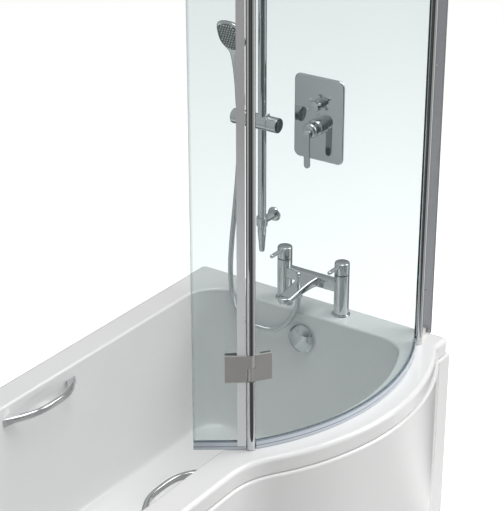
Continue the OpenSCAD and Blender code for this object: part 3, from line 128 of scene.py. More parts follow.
def ring_faces(rows, count, wrap_rows=False):
    """Quads between neighbouring rings of a grid whose rings are closed, and where asked between the
    last ring and the first."""
    i = np.arange(rows if wrap_rows else rows - 1)[:, None]
    j = np.arange(count)[None, :]
    a = i * count + j
    b = i * count + (j + 1) % count
    c = ((i + 1) % rows) * count + (j + 1) % count
    d = ((i + 1) % rows) * count + j
    return np.stack([a, b, c, d], -1).reshape(-1, 4).tolist()


def shell(rings, poles=None):
    """Points and faces of a closed skin through rings (rows, count, 3), with a fan at each end to a
    pole, or else to the ring's middle. A skin that encloses less than nothing is inside out, so its
    faces are turned."""
    rings = np.asarray(rings, float)
    rows, count = rings.shape[:2]
    points = np.concatenate([rings.reshape(-1, 3), rings[[0, -1]].mean(1) if poles is None else poles])
    last = (rows - 1) * count
    j = np.arange(count)
    k = (j + 1) % count
    faces = ring_faces(rows, count)
    faces += np.stack([np.full(count, rows * count), k, j], -1).tolist()
    faces += np.stack([np.full(count, rows * count + 1), last + j, last + k], -1).tolist()
    near = points - points.mean(0)
    corners = near[np.array([face + face[-1:] * (4 - len(face)) for face in faces])]
    a, b, c, d = corners.transpose(1, 0, 2)
    room = (a * np.cross(b, c)).sum() + (a * np.cross(c, d)).sum()
    return points, faces if room > 0 else [face[::-1] for face in faces]


def skin(name, *shells, crease=CREASE):
    """One object from closed skins."""
    points, faces, start = [], [], 0
    for some, these in shells:
        points.append(some)
        faces += [[start + corner for corner in face] for face in these]
        start += len(some)
    return make_mesh(name, np.concatenate(points), faces, crease)


def turned(profile, centre=(0, 0, 0), axis="z", count=48):
    """A skin from a profile of (radius, height) turned round an axis through the centre."""
    r, h = np.asarray(profile, float).T
    angle = np.arange(count) * 2 * np.pi / count
    across = r[:, None] * np.cos(angle)
    up = r[:, None] * np.sin(angle)
    along = np.repeat(h[:, None], count, 1)
    order = {"z": (across, up, along), "-x": (-along, across, up), "y": (up, along, across)}[axis]
    rings = np.stack(order, -1) + np.asarray(centre, float)
    return shell(rings[int(r[0] < 1e-6):len(r) - int(r[-1] < 1e-6)], rings[[0, -1]].mean(1))


def bar(r, low, high, edge=0.5):
    """Profile of a round bar between two heights with a small bevel at both ends."""
    round_in = edge * 0.3
    return [(0, low), (r - edge, low), (r - round_in, low + round_in), (r, low + edge),
            (r, high - edge), (r - round_in, high - round_in), (r - edge, high), (0, high)]


def ball(r, at=0.0, low=-90, high=90, steps=12):
    """Profile of a ball, or a part of it between two angles of height."""
    angle = np.radians(np.linspace(low, high, steps + 1))
    return np.stack([r * np.cos(angle), at + r * np.sin(angle)], -1).tolist()


def placed(some, turn, about, move=(0, 0, 0)):
    """A skin turned by an angle about the x or y axis through its own origin, then moved."""
    points, faces = some
    c, q = math.cos(math.radians(turn)), math.sin(math.radians(turn))
    spin = {"x": [[1, 0, 0], [0, c, -q], [0, q, c]], "y": [[c, 0, q], [0, 1, 0], [-q, 0, c]]}[about]
    return points @ np.array(spin).T + np.asarray(move, float), faces


def unit(v):
    """Vectors divided by their lengths."""
    return v / np.linalg.norm(v, axis=-1, keepdims=True)


def ease(t):
    """Smooth step from 0 to 1."""
    u = np.clip(t, 0, 1)
    return u * u * (3 - 2 * u)


def oblong(width, height, radius, steps=6):
    """Rounded rectangle as a closed line of points, anticlockwise from its right side."""
    angle = np.radians(90) * (np.arange(4)[:, None] + np.arange(steps + 1)[None, :] / steps)
    sx = np.array([1, -1, -1, 1])[:, None]
    sy = np.array([1, 1, -1, -1])[:, None]
    x = sx * (width / 2 - radius) + radius * np.cos(angle)
    y = sy * (height / 2 - radius) + radius * np.sin(angle)
    return np.stack([x, y], -1).reshape(-1, 2)


def fractions(*spans):
    """One rising list from (from, to, steps) spans, each without its last point but the final one."""
    parts = [np.linspace(a, b, n, endpoint=False) for a, b, n in spans]
    return np.concatenate(parts + [[spans[-1][1]]])


def spline(points, per):
    """Catmull-Rom curve through points, with this many steps to each span."""
    p = np.asarray(points, float)
    p = np.concatenate([[2 * p[0] - p[1]], p, [2 * p[-1] - p[-2]]])
    t = np.arange(per)[:, None] / per
    a, b, c, d = (p[k:len(p) - 3 + k][:, None, :] for k in range(4))
    square, cube = 2 * a - 5 * b + 4 * c - d, 3 * b - a - 3 * c + d
    curve = 0.5 * (2 * b + (c - a) * t + square * t ** 2 + cube * t ** 3)
    return np.concatenate([curve.reshape(-1, p.shape[1]), p[-2:-1]])


def run_of(line):
    """Length along a line of points, from its first."""
    return np.concatenate([[0], np.cumsum(np.linalg.norm(np.diff(line, axis=0), axis=1))])


def point_at(line, run, s):
    """Points at lengths s along a line whose points lie at the lengths in run."""
    return np.stack([np.interp(s, run, line[:, k]) for k in range(line.shape[1])], -1)


# --- shower hose --------------------------------------------------------------------------
# Its route: down from the handset's nut, a loop over the tap-end rim, up to the outlet
HOSE_LINE = [
    (-62, -172, 972), (-62, -172, 956), (-62.5, -171, 938), (-65, -168, 900), (-68, -166, 850),
    (-73, -163, 790), (-80, -161, 730), (-88, -160, 670), (-98, -163, 610), (-106, -170, 560),
    (-112, -182, 516), (-115, -201, 484), (-116, -230, 466), (-116, -264, 460), (-116, -300, 462),
    (-116, -332, 475), (-116, -359, 498), (-116, -379, 530), (-115.3, -391, 553), (-115, -393, 569),
    (-115, -393, 585)]
HOSE_D = 14
HOSE_UPPER = 200
RIB_PITCH, RIB_DEPTH, RIB_STEPS = 3.4, 0.6, 7
PLAIN_END = 8


def hose_piece(name, low, high):
    """A ribbed tube along the hose's line between two lengths: its radius falls by the rib's depth
    as a raised cosine to the third power, once in every rib pitch, and its ends are plain."""
    line = spline(HOSE_LINE, 40)
    run = run_of(line)
    s = np.linspace(low, high, int((high - low) / RIB_PITCH * RIB_STEPS))
    at = point_at(line, run, s)
    reach = 3
    along = unit(point_at(line, run, s + reach) - point_at(line, run, s - reach))
    across = unit(np.cross([1.0, 0, 0], along))
    up = np.cross(along, across)
    ribbed = ease((s - PLAIN_END) / 4) * ease((run[-1] - PLAIN_END - s) / 4)
    radius = HOSE_D / 2 - RIB_DEPTH * ribbed * (0.5 - 0.5 * np.cos(2 * np.pi * s / RIB_PITCH)) ** 3
    angle = np.arange(20) * 2 * np.pi / 20
    rings = at[:, None] + radius[:, None, None] * (
        across[:, None] * np.cos(angle)[None, :, None] + up[:, None] * np.sin(angle)[None, :, None])
    piece = skin(name, shell(rings), crease=90)
    path = row(point_at(line, run, np.linspace(low, high, 160)))
    return piece, path, run_of(path)[-1]


hose_run = run_of(spline(HOSE_LINE, 40))[-1]
hose_lower, lower_path, lower_length = hose_piece("hose_lower", HOSE_UPPER, hose_run)
hose_upper, upper_path, upper_length = hose_piece("hose_upper", 0, HOSE_UPPER)
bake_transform(hose_lower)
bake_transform(hose_upper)
for hose in (hose_lower, hose_upper):
    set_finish(hose, "chrome")
    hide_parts("shower_hose")


# --- bath outlines ------------------------------------------------------------------------
# Length, straight width, rim height, well's depth, shell, skirt's height and rim's rounded edge
BATH_L, BATH_W, RIM_Z, DEPTH, SHELL, SKIRT, EDGE = 1700, 700, 531, 400, 6, 42, 11
# The bulge's radius and reach, the share of it that its own arc gives back, the tap-end landing
BULGE_R, BULGE_REACH, SWEEP_FALL, LANDING_BACK = 646, 860, 0.73, 76.5
SWEEP = math.degrees(math.acos(1 - SWEEP_FALL * (BULGE_REACH - BATH_W) / BULGE_R))
# Width of the rim on each side of the well, and how far each wall leans in down to the floor
RIM_TAP, RIM_BACK, RIM_HEAD, RIM_FRONT, RIM_BULGE = 95, 79, 90, 80, 94
WALL_LEAN, TAP_LEAN, HEAD_LEAN = 42, 60, 290
ROLL = 7
WASTE = np.array([-262.0, -397.0])
FLOOR_Z, FLOOR_FALL = RIM_Z - DEPTH, 8
WASTE_Z = FLOOR_Z - FLOOR_FALL
GRIP_X = {1: -795, -1: -944}
SCOOP_HALF, SCOOP_DEEP = 106, 9
# Steps round each of the seven corners, and along the straight run after it
ARC_STEPS = (12, 14, 14, 26, 110, 16, 18)
RUN_STEPS = (130, 16, 130, 3, 3, 3, 10)


def slope(q):
    """Sine and cosine of degrees."""
    return math.sin(math.radians(q)), math.cos(math.radians(q))


def tangent_at_y(c, r, q, y):
    """Where the tangent of a circle at angle q from the room side meets a line of constant y."""
    s, k = slope(q)
    return c[0] + (r + (y - c[1]) * k) / s, y


def apex(c, r, p, q):
    """Where the tangents at -p and q meet outside the bulge."""
    s, k = slope((q - p) / 2)
    far = r / slope((p + q) / 2)[1]
    return c[0] + far * s, c[1] - far * k


def sweep_radius(c, r, y):
    """Radius of the curve that leaves the straight front for the bulge."""
    s, k = slope(SWEEP)
    return 0.84 * (y - c[1] + r * k) / s / math.tan(math.radians(SWEEP / 2))


rim_c = (-364.0, float(BULGE_R - BULGE_REACH))
LANDING_Y = LANDING_BACK - BULGE_REACH
landing = math.degrees(math.acos((rim_c[1] - LANDING_Y) / BULGE_R)) - 1.5
CORNER_R = 16
RIM = np.array([
    (0, 0, CORNER_R), (-BATH_L, 0, CORNER_R), (-BATH_L, -BATH_W, CORNER_R),
    (*tangent_at_y(rim_c, BULGE_R, -SWEEP, -BATH_W), sweep_radius(rim_c, BULGE_R, -BATH_W)),
    (*apex(rim_c, BULGE_R, SWEEP, landing), BULGE_R),
    (*tangent_at_y(rim_c, BULGE_R, landing, LANDING_Y), 40), (0, LANDING_Y, CORNER_R)])


def well_corners(tap, back, head, front, c, r, q, tap_r, head_r):
    """The seven corners of the well's outline as x, y and radius; the tap-end front corner is two
    half turns."""
    s, k = slope(q)
    v = np.array([-tap, c[1] + ((-tap - c[0]) * s - r) / k])
    line = np.linalg.norm(v - (np.array(c) + r * np.array([s, -k])))
    turn = math.radians(90 - q)
    cr = 0.8 * line / math.tan(turn / 2)
    step = cr * (math.tan(turn / 2) - math.tan(turn / 4))
    return np.array([
        (-tap, -back, tap_r), (-head, -back, head_r), (-head, -front, head_r),
        (*tangent_at_y(c, r, -SWEEP, -front), sweep_radius(c, r, -front)),
        (*apex(c, r, SWEEP, q), r),
        (v[0] - k * step, v[1] - s * step, 0.96 * cr), (v[0], v[1] + step, 0.96 * cr)])


# Outlines of the well where it meets the rim and where it meets the floor
mouth_r = BULGE_R - 116
mouth_c = (-366.0, float(mouth_r + RIM_BULGE - BULGE_REACH))
MOUTH = well_corners(RIM_TAP, RIM_BACK, BATH_L - RIM_HEAD, BATH_W - RIM_FRONT,
                     mouth_c, mouth_r, 22, 90, 120)
foot_r = mouth_r - 40
foot_c = (mouth_c[0], mouth_c[1] - 40 + WALL_LEAN + 13)
FOOT = well_corners(RIM_TAP + TAP_LEAN, RIM_BACK + WALL_LEAN, BATH_L - RIM_HEAD - HEAD_LEAN,
                    BATH_W - RIM_FRONT - WALL_LEAN, foot_c, foot_r, 14, 90, 90)


def inset(corners, d):
    """Every edge of the outline moved inwards by d, with its radii."""
    p = corners[:, :2]
    u = unit(p - np.roll(p, 1, 0))
    v = np.roll(u, -1, 0)
    m = np.stack([-u[:, 1], u[:, 0]], -1)
    k = np.stack([-v[:, 1], v[:, 0]], -1)
    moved = p + (m + k) * d / (1 + (m * k).sum(-1, keepdims=True))
    bend = np.sign(u[:, 0] * v[:, 1] - u[:, 1] * v[:, 0])
    return np.column_stack([moved, np.maximum(1, corners[:, 2] - bend * d)])


def corner_arc(a, b, c, r, n):
    """The arc of radius r that rounds corner b between its neighbours a and c, as n + 1 points."""
    u, v = unit(a - b), unit(c - b)
    half = math.acos(float(u @ v)) / 2
    centre = b + unit(u + v) * r / math.sin(half)
    start, end = unit(b + u * r / math.tan(half) - centre), unit(b + v * r / math.tan(half) - centre)
    w = math.acos(float(start @ end))
    t = np.linspace(0, 1, n + 1)[:, None]
    return centre + r * (start * np.sin((1 - t) * w) + end * np.sin(t * w)) / math.sin(w)


def outline(corners):
    """A closed outline: seven arcs with even points on the straight runs that follow them."""
    p, n = corners[:, :2], len(corners)
    arcs = [corner_arc(p[i - 1], p[i], p[(i + 1) % n], corners[i, 2], ARC_STEPS[i]) for i in range(n)]
    line = []
    for i in range(n):
        t = np.linspace(0, 1, RUN_STEPS[i] + 2)[1:-1, None]
        line += [arcs[i], arcs[i][-1] * (1 - t) + arcs[(i + 1) % n][0] * t]
    return np.concatenate(line)


def level(line, z):
    """A flat line lifted to height z."""
    return np.column_stack([line, np.full(len(line), float(z))])


# --- bath ---------------------------------------------------------------------------------
def lean_at(d):
    """Share of the wall's lean at a share of its depth: even, then swept round into the floor."""
    return 0.5 * d + 0.5 * (1 - np.sqrt(np.maximum(0, 1 - d ** 8)))


def wall_z(d):
    """Height at a share of the wall's depth."""
    return RIM_Z - EDGE - d * (DEPTH - EDGE)


def wall_ring(d, out, drop):
    """Ring of the well at a share of its depth, moved out from the face and dropped. Behind each
    grip the wall is pressed outwards by a cosine squared along it."""
    corners = MOUTH * (1 - lean_at(d)) + FOOT * lean_at(d)
    line = outline(inset(corners, -out))
    z = wall_z(d)
    scoop = ease((RIM_Z - EDGE - z) / 28) * (1 - ease((RIM_Z - 47 - z) / 26))
    side = np.where(line[:, 1] > -BATH_W / 2, 1, -1)
    u = np.clip((line[:, 0] - np.where(side > 0, GRIP_X[1], GRIP_X[-1])) / SCOOP_HALF, -1, 1)
    line[:, 1] += side * SCOOP_DEEP * np.cos(np.pi / 2 * u) ** 2 * scoop
    return level(line, z - drop)


def floor_ring(share, radius, drop=0.0):
    """Ring of the floor between its edge (share 0) and a circle round the waste (share 1)."""
    edge = outline(FOOT)
    ring = WASTE + radius * unit(edge - WASTE)
    return level(edge * (1 - share) + ring * share, FLOOR_Z - FLOOR_FALL * share - drop)


def make_bath():
    """One closed skin: from the waste's bore up the outer face of the well, out under the rim,
    round the skirt, over the rim, down the well and along the floor to the waste."""
    rim_ring = lambda d, z: level(outline(inset(RIM, d)), z)
    quarter = np.radians(np.linspace(90, 0, 9))
    deep = fractions((0, 0.16, 22), (0.16, 0.6, 14), (0.6, 0.9, 12), (0.9, 1, 14))
    rings = [floor_ring(1, 25, SHELL)]
    rings += [wall_ring(d, SHELL, SHELL + FLOOR_FALL * d) for d in deep[::-3]]
    rings += [level(outline(inset(MOUTH, -SHELL - 5)), RIM_Z - SHELL)]
    rings += [rim_ring(SHELL + 5, RIM_Z - SHELL), rim_ring(SHELL, RIM_Z - SHELL - 5),
              rim_ring(SHELL, RIM_Z - SKIRT)]
    rings += [rim_ring(1.2, RIM_Z - SKIRT), rim_ring(0.35, RIM_Z - SKIRT + 0.35),
              rim_ring(0, RIM_Z - SKIRT + 1.2)]
    rings += [rim_ring(0, RIM_Z - EDGE - 1)]
    rings += [rim_ring(EDGE * (1 - math.sin(a)), RIM_Z - EDGE * (1 - math.cos(a))) for a in quarter]
    rings += [rim_ring(EDGE + 1, RIM_Z), level(outline(inset(MOUTH, -ROLL - 1)), RIM_Z)]
    rings += [level(outline(inset(MOUTH, -ROLL * (1 - math.cos(a)))), RIM_Z - ROLL * (1 - math.sin(a)))
              for a in quarter[:-1]]
    rings += [level(outline(MOUTH), RIM_Z - ROLL - 0.5)]
    rings += [wall_ring(d, 0, 0) for d in deep]
    rings += [floor_ring(s, 40) for s in (0.01, 0.15, 0.4, 0.7, 0.95)]
    rings += [floor_ring(1, 36.4), floor_ring(1, 35.6, 0.4), floor_ring(1, 35.4, 2), floor_ring(1, 25.6, 2),
              floor_ring(1, 25, 2.4)]
    rings = np.array(rings)
    rows, count = rings.shape[:2]
    return make_mesh("bath", rings.reshape(-1, 3), ring_faces(rows, count, wrap_rows=True))


bath = make_bath()
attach(bath, "bath")
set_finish(bath, "white_acrylic")
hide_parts("bath_shell")


# --- front panel --------------------------------------------------------------------------
PANEL_TOP = RIM_Z - SKIRT - 2


def panel_line(d):
    """The open line of the panel, drawn in from the rim by d, with its two ends on the bath's."""
    c = inset(RIM, d)
    p = c[:, :2]
    a = [corner_arc(p[i - 1], p[i], p[i + 1], c[i, 2], n) for i, n in ((3, 40), (4, 140), (5, 24))]
    t = np.linspace(0, 1, 40)[:-1, None]
    u = np.linspace(0, 1, 6)[1:, None]
    first = np.array([-BATH_L, c[2, 1]]) * (1 - t) + a[0][0] * t
    last = a[2][-1] * (1 - u) + np.array([0, c[6, 1]]) * u
    return np.concatenate([first, a[0], a[1], a[2], last])


def make_panel():
    """The panel's section (drawn-in distance and height) carried along its line, closed at both ends."""
    out, back, tongue = -6, -3, SHELL + 1
    turn = np.radians(np.linspace(0, 90, 7))
    top_edge = np.stack([out + 6 * (1 - np.cos(turn)), PANEL_TOP - 6 * (1 - np.sin(turn))], -1)
    low_edge = np.stack([out + 2 * (1 - np.sin(turn)), 2 - 2 * np.cos(turn)], -1)
    inner = [[back - 0.3, 0], [back, 0.3], [back, PANEL_TOP - 5], [back + 1.5, PANEL_TOP - 3]]
    hook = [[tongue + 2.4, PANEL_TOP - 3], [tongue + 2.4, PANEL_TOP + 16.6], [tongue + 2, PANEL_TOP + 17],
            [tongue + 0.4, PANEL_TOP + 17], [tongue, PANEL_TOP + 16.6], [tongue, PANEL_TOP]]
    outer = [[out, PANEL_TOP - 7], [out, 4]]
    section = np.concatenate([low_edge, inner, hook, top_edge[::-1], outer])[::-1]
    lines = np.array([panel_line(d) for d in section[:, 0]])
    heights = np.broadcast_to(section[:, 1][:, None, None], lines.shape[:2] + (1,))
    rings = np.concatenate([lines, heights], -1).transpose(1, 0, 2)
    return skin("front_panel_skin", shell(rings))


panel = make_panel()
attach(panel, "bath")
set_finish(panel, "white_acrylic")
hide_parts("front_panel")


# --- grips --------------------------------------------------------------------------------
def wall_line(side, z):
    """y of the straight wall of the well at height z, at the back (1) or the front (-1)."""
    lean = WALL_LEAN * lean_at((RIM_Z - EDGE - z) / (DEPTH - EDGE))
    return np.where(side > 0, -RIM_BACK - lean, -BATH_W + RIM_FRONT + lean)


def make_grip(side, name):
    """An arched bar along the wall. Its outer line follows one minus a power of the distance from
    the middle and its inner line a flatter one, so the bar is thin in the middle, spreads into two
    feet and rises towards the middle; no point lies behind the wall's face."""
    half, reach, thick = 133, 53, 11
    i = np.linspace(-90, 90, 97)
    x = half * np.sin(np.radians(i))
    bow = 1 - np.abs(x / half) ** 2.6
    high = 17 * (1.3 - 0.3 * bow)
    gap = (reach - thick) * np.maximum(0, 1 - np.abs(x / (0.75 * half)) ** 3.2)
    out = np.maximum(reach * bow, gap + 2.4)
    middle = RIM_Z - 43 + 10 * bow
    rings = []
    for k in range(len(x)):
        p = oblong(out[k] - gap[k], high[k], 0.4 * min(out[k] - gap[k], high[k]), 7)
        z = middle[k] + p[:, 1]
        y = wall_line(side, z) - side * np.maximum(0, (out[k] + gap[k]) / 2 + p[:, 0])
        rings.append(np.column_stack([np.full(len(p), GRIP_X[side] - side * x[k]), y, z]))
    return skin(name, shell(rings))


for side, name in ((1, "grip_back"), (-1, "grip_front")):
    grip = make_grip(side, name + "_bar")
    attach(grip, "bath")
    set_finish(grip, "chrome")
    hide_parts(name)


# --- fittings -----------------------------------------------------------------------------
def stands_for(node, body, slot, *shells):
    """One object from skins, carried by a body in place of the node named."""
    made = skin(node + "_fine", *shells)
    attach(made, body)
    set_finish(made, slot)
    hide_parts(node)
    return made


# --- bath filler --------------------------------------------------------------------------
TAP_X, TAP_Y, TAP_HALF = -44.0, -394.0, 90
PILLARS = {"hot": (TAP_X, TAP_Y + TAP_HALF), "cold": (TAP_X, TAP_Y - TAP_HALF)}
PILLAR_R, PILLAR_TOP, FLANGE_H = 20, RIM_Z + 118.2, 5
CAP_LOW, CAP_H = RIM_Z + 119.8, 34
LEVER_Z, LEVER_R, LEVER_REACH = RIM_Z + 145.5, 5.2, 69
BRIDGE_W, BRIDGE_H, BRIDGE_Z = 28, 31, RIM_Z + 81
SPOUT_TIP, SPOUT_Y, SPOUT_W, SPOUT_FLARE = -172, -390, 40, 24
SPOUT_TOP, SPOUT_TOP_FALL = RIM_Z + 96, 18
SPOUT_UNDER, SPOUT_UNDER_FALL = RIM_Z + 68, 5
AERATOR = (-163.5, TAP_Y, RIM_Z + 54)
OUTLET = (-115, -393)


def spout_rings():
    """Rings of the spout: its width falls from the bridge to the tip by a power of the share left,
    its top and underside fall in straight lines, and its end is a half turn."""
    u = np.linspace(0, 1, 41)
    x = TAP_X * (1 - u) + SPOUT_TIP * u
    w = SPOUT_W + SPOUT_FLARE * (1 - u) ** 4
    a = np.radians(np.linspace(6, 86, 14))
    x = np.concatenate([x, SPOUT_TIP - SPOUT_W / 2 * np.sin(a)])
    w = np.concatenate([w, SPOUT_W * np.cos(a)])
    u = np.concatenate([u, np.ones(len(a))])
    top, under = SPOUT_TOP - SPOUT_TOP_FALL * u, SPOUT_UNDER - SPOUT_UNDER_FALL * u
    rings = []
    for k in range(len(u)):
        p = oblong(w[k], top[k] - under[k], min(6, w[k] / 2 - 0.2), 6)
        z = (top[k] + under[k]) / 2 + p[:, 1]
        rings.append(np.column_stack([np.full(len(p), x[k]), SPOUT_Y - p[:, 0], z]))
    return rings


def bridge_rings():
    """Rings of the bar between the two pillars: one rounded rectangle carried along y."""
    p = oblong(BRIDGE_W, BRIDGE_H, 5, 6)
    return [np.column_stack([TAP_X + p[:, 0], np.full(len(p), y), BRIDGE_Z + p[:, 1]])
            for y in np.linspace(TAP_Y + TAP_HALF, TAP_Y - TAP_HALF, 9)]


def make_filler():
    """The spout, bridge and pillars; the flanges at their feet; the aerator under the tip."""
    pillar = bar(PILLAR_R, RIM_Z + FLANGE_H, PILLAR_TOP, 0.8)
    pillars = [turned(pillar, (*at, 0), count=72) for at in PILLARS.values()]
    stands_for("tap_body", "bath", "chrome", shell(spout_rings()), shell(bridge_rings()), *pillars)
    flange = [(0, 0), (24.4, 0), (25, 0.6), (24.6, 2), (23.6, 3.8), (22.4, FLANGE_H), (0, FLANGE_H)]
    flanges = [turned(flange, (*at, RIM_Z), count=72) for at in PILLARS.values()]
    stands_for("tap_flanges", "bath", "chrome", *flanges)
    mouth = [(0, 13), (12, 13), (12, 0.8), (11.4, 0), (9.6, 0), (9.2, 1), (9, 3), (0, 3)]
    stands_for("spout_aerator", "bath", "chrome", turned(mouth, AERATOR))


def make_handle(side):
    """A cap with a slightly domed top, and a round lever that leaves it towards the bath."""
    cap = [(0, 0), (19.2, 0), (PILLAR_R, 0.8), (PILLAR_R, CAP_H - 4.6), (19.7, CAP_H - 3.2),
           (19, CAP_H - 2), (17.6, CAP_H - 1.1), (14, CAP_H - 0.5), (8, CAP_H - 0.1), (0, CAP_H)]
    straight = LEVER_REACH - LEVER_R
    lever = [(0, 8), (LEVER_R, 8), (LEVER_R, straight)]
    lever += [(r, straight + h) for r, h in ball(LEVER_R, 0, 10, 90, 7)]
    at = PILLARS[side]
    stands_for(side + "_handle", side + "_tap", "chrome", turned(cap, (*at, CAP_LOW), count=72),
               turned(lever, (*at, LEVER_Z), "-x", 32))


def make_diverter():
    """The stem and ball of the pull-up knob, and the nut of the hose outlet under it."""
    stem = turned(bar(4, RIM_Z + 76, RIM_Z + 112), (*OUTLET, 0))
    knob = [(0, 0), (4.6, 0), (5, 0.5), (4.4, 2)] + ball(7, 9, -48, 90, 16)
    stands_for("tap_diverter", "diverter", "chrome", stem, turned(knob, (*OUTLET, RIM_Z + 111)))
    stands_for("tap_hose_nut", "bath", "chrome", turned(bar(11, 0, 12, 1), (*OUTLET, RIM_Z + 54)))


make_filler()
make_handle("hot")
make_handle("cold")
make_diverter()


# --- overflow and waste -------------------------------------------------------------------
DOME_DROP, DOME_Y, DOME_EDGE_R, DOME_RISE = 74, -398, 39, 12
PLUG_R = 30


def make_overflow():
    """The overflow's dome, a part of a ball on a short rim, square to the leaning end wall."""
    depth = DEPTH - EDGE
    at = (-RIM_TAP - TAP_LEAN * float(lean_at((DOME_DROP - EDGE) / depth)), DOME_Y, RIM_Z - DOME_DROP)
    lean = math.degrees(math.atan(TAP_LEAN * 0.5 / depth))
    r = (DOME_EDGE_R ** 2 + DOME_RISE ** 2) / (2 * DOME_RISE)
    foot = [(0, -22), (13, -22), (13, 0), (31, 0), (31, 5), (38, 5), (38.8, 5.5), (DOME_EDGE_R, 6.5)]
    first = 90 - math.degrees(math.asin(DOME_EDGE_R / r))
    dome = ball(r, DOME_RISE + 6.5 - r, first, 90, 14)[1:]
    stands_for("overflow_cap", "bath", "chrome",
               placed(turned(foot + dome, count=72), lean - 90, "y", at))


def make_plug():
    """The waste's plug: a stem and a flat button whose top is a quarter of an ellipse."""
    a = np.radians(np.linspace(8, 90, 12))
    top = np.stack([PLUG_R * np.cos(a), 3.6 + 4 * np.sin(a)], -1).tolist()
    plug = [(0, -36), (4, -36), (4, 2.4), (28.4, 2.4), (PLUG_R, 3.4)] + top
    stands_for("waste_plug", "plug", "chrome", turned(plug, (*WASTE, WASTE_Z), count=72))


make_overflow()
make_plug()


# --- slide rail ---------------------------------------------------------------------------
RAIL_X, RAIL_Y, RAIL_LOW, RAIL_HIGH = -60, -240, 728, 1414
BRACKET_Z = (746, 1396)
SLIDE_Z, SLIDE_R = 1027.5, 20
HAND_X, HAND_Y = -62, -172


def make_rail():
    """The tube, its tapered lower end and flat upper one, and the two brackets with their roses."""
    stands_for("rail_tube", "bath", "chrome",
               turned(bar(11, RAIL_LOW, RAIL_HIGH), (RAIL_X, RAIL_Y, 0), count=64))
    tail = [(0, -4), (5.6, -4), (6.7, -3.2), (7, -2), (7.6, 4), (9, 26), (10.6, 46), (11.5, 54),
            (11.5, 65.6), (11.1, 66), (0, 66)]
    stands_for("rail_ends", "bath", "chrome", turned(tail, (RAIL_X, RAIL_Y, RAIL_LOW - 66)),
               turned(bar(11.5, RAIL_HIGH, RAIL_HIGH + 10, 1.2), (RAIL_X, RAIL_Y, 0)))
    rose = [(0, 0), (19.6, 0), (20, 0.5), (19.4, 3), (18, 5.4), (16, 6), (0, 6)]
    brackets = []
    for z in BRACKET_Z:
        brackets += [turned(bar(10, 0, -RAIL_X), (0, RAIL_Y, z), "-x"), turned(rose, (0, RAIL_Y, z), "-x"),
                     turned(bar(15, z - 13, z + 13, 1.5), (RAIL_X, RAIL_Y, 0))]
    stands_for("rail_brackets", "bath", "chrome", *brackets)


def make_slider():
    """The slider's barrel with its two screws, and in line with it the clamp knob and the holder."""
    at = (RAIL_X, 0, SLIDE_Z)
    screw = [(3, -4), (3, 3.4), (2.4, 4.4), (1.4, 5), (0, 5.2)]
    screws = [turned(screw, (RAIL_X + x, -256, SLIDE_Z + SLIDE_R), count=24) for x in (-6, 6)]
    stands_for("slider_body", "slider", "chrome", turned(bar(SLIDE_R, -262, -194, 0.8), at, "y", 64),
               *screws)
    stands_for("slider_knob", "clamp_knob", "chrome", turned(bar(SLIDE_R, -292, -262.6, 1), at, "y", 64))
    stands_for("handset_holder", "handset", "chrome",
               turned(bar(SLIDE_R, -193.4, -150, 1), at, "y", 64))


make_rail()
make_slider()


# --- handset ------------------------------------------------------------------------------
# Height over the cone, width and thickness
HAND_SIZES = np.array([
    (0, 24, 24), (14, 25, 23), (45, 25.5, 21), (85, 26, 19), (120, 26, 18), (140, 27, 17.5),
    (150, 31, 17.5), (158, 42, 17.5), (166, 57, 18), (176, 71, 18), (190, 78, 18), (208, 78, 17.5),
    (222, 73, 16.5), (232, 62, 15), (238, 44, 12), (240.5, 20, 8)])
CONE_TOP, CONE_H = SLIDE_Z + 34, 62
HAND_BEND, HAND_BEND_RUN = 60, 255
PLATE_MID, PLATE_HALF = 196.5, 37.5
NOZZLE_ROWS, NOZZLE_RISE, NOZZLE_PITCH = 10, 7.1, 7.8


def hand_line(z):
    """x of the handset's middle line: it leaves the upright by the square of the height."""
    return HAND_X - HAND_BEND * (np.maximum(0, z - CONE_TOP + 8) / HAND_BEND_RUN) ** 2


def hand_rings():
    """Rings of the handset, drawn smoothly through its sizes."""
    rings = []
    for high, wide, thick in spline(HAND_SIZES, 6):
        p = oblong(thick, wide, 0.46 * thick, 8)
        z = CONE_TOP + high
        rings.append(np.column_stack([hand_line(z) + p[:, 0], HAND_Y + p[:, 1], np.full(len(p), z)]))
    return rings


def hand_at(name):
    """Width or thickness of the handset as a function of the height over the cone."""
    line = spline(HAND_SIZES, 6)
    return lambda high: np.interp(high, line[:, 0], line[:, 1 if name == "wide" else 2])


def plate_rings():
    """Rings of the nozzle plate: its edge keeps a margin to the head's outline and closes in a
    round at both ends, and it rises to a slightly domed face."""
    wide, thick = hand_at("wide"), hand_at("thick")
    t = np.sin(np.radians(np.linspace(-90, 90, 41)))
    up = PLATE_MID + PLATE_HALF * t
    half = (wide(up) / 2 - 5) * np.sqrt(np.maximum(0.0004, 1 - np.abs(t) ** 5))
    up = np.concatenate([up, up[-2:0:-1]])
    side = np.concatenate([half, -half[-2:0:-1]])
    rings = []
    for share, rise in ((1, -0.6), (1, 0.8), (0.985, 1.4), (0.95, 1.7), (0.6, 2.1), (0.2, 2.3)):
        high = PLATE_MID + (up - PLATE_MID) * share
        z = CONE_TOP + high
        rings.append(np.column_stack([hand_line(z) - thick(high) / 2 - rise, HAND_Y + side * share, z]))
    return rings


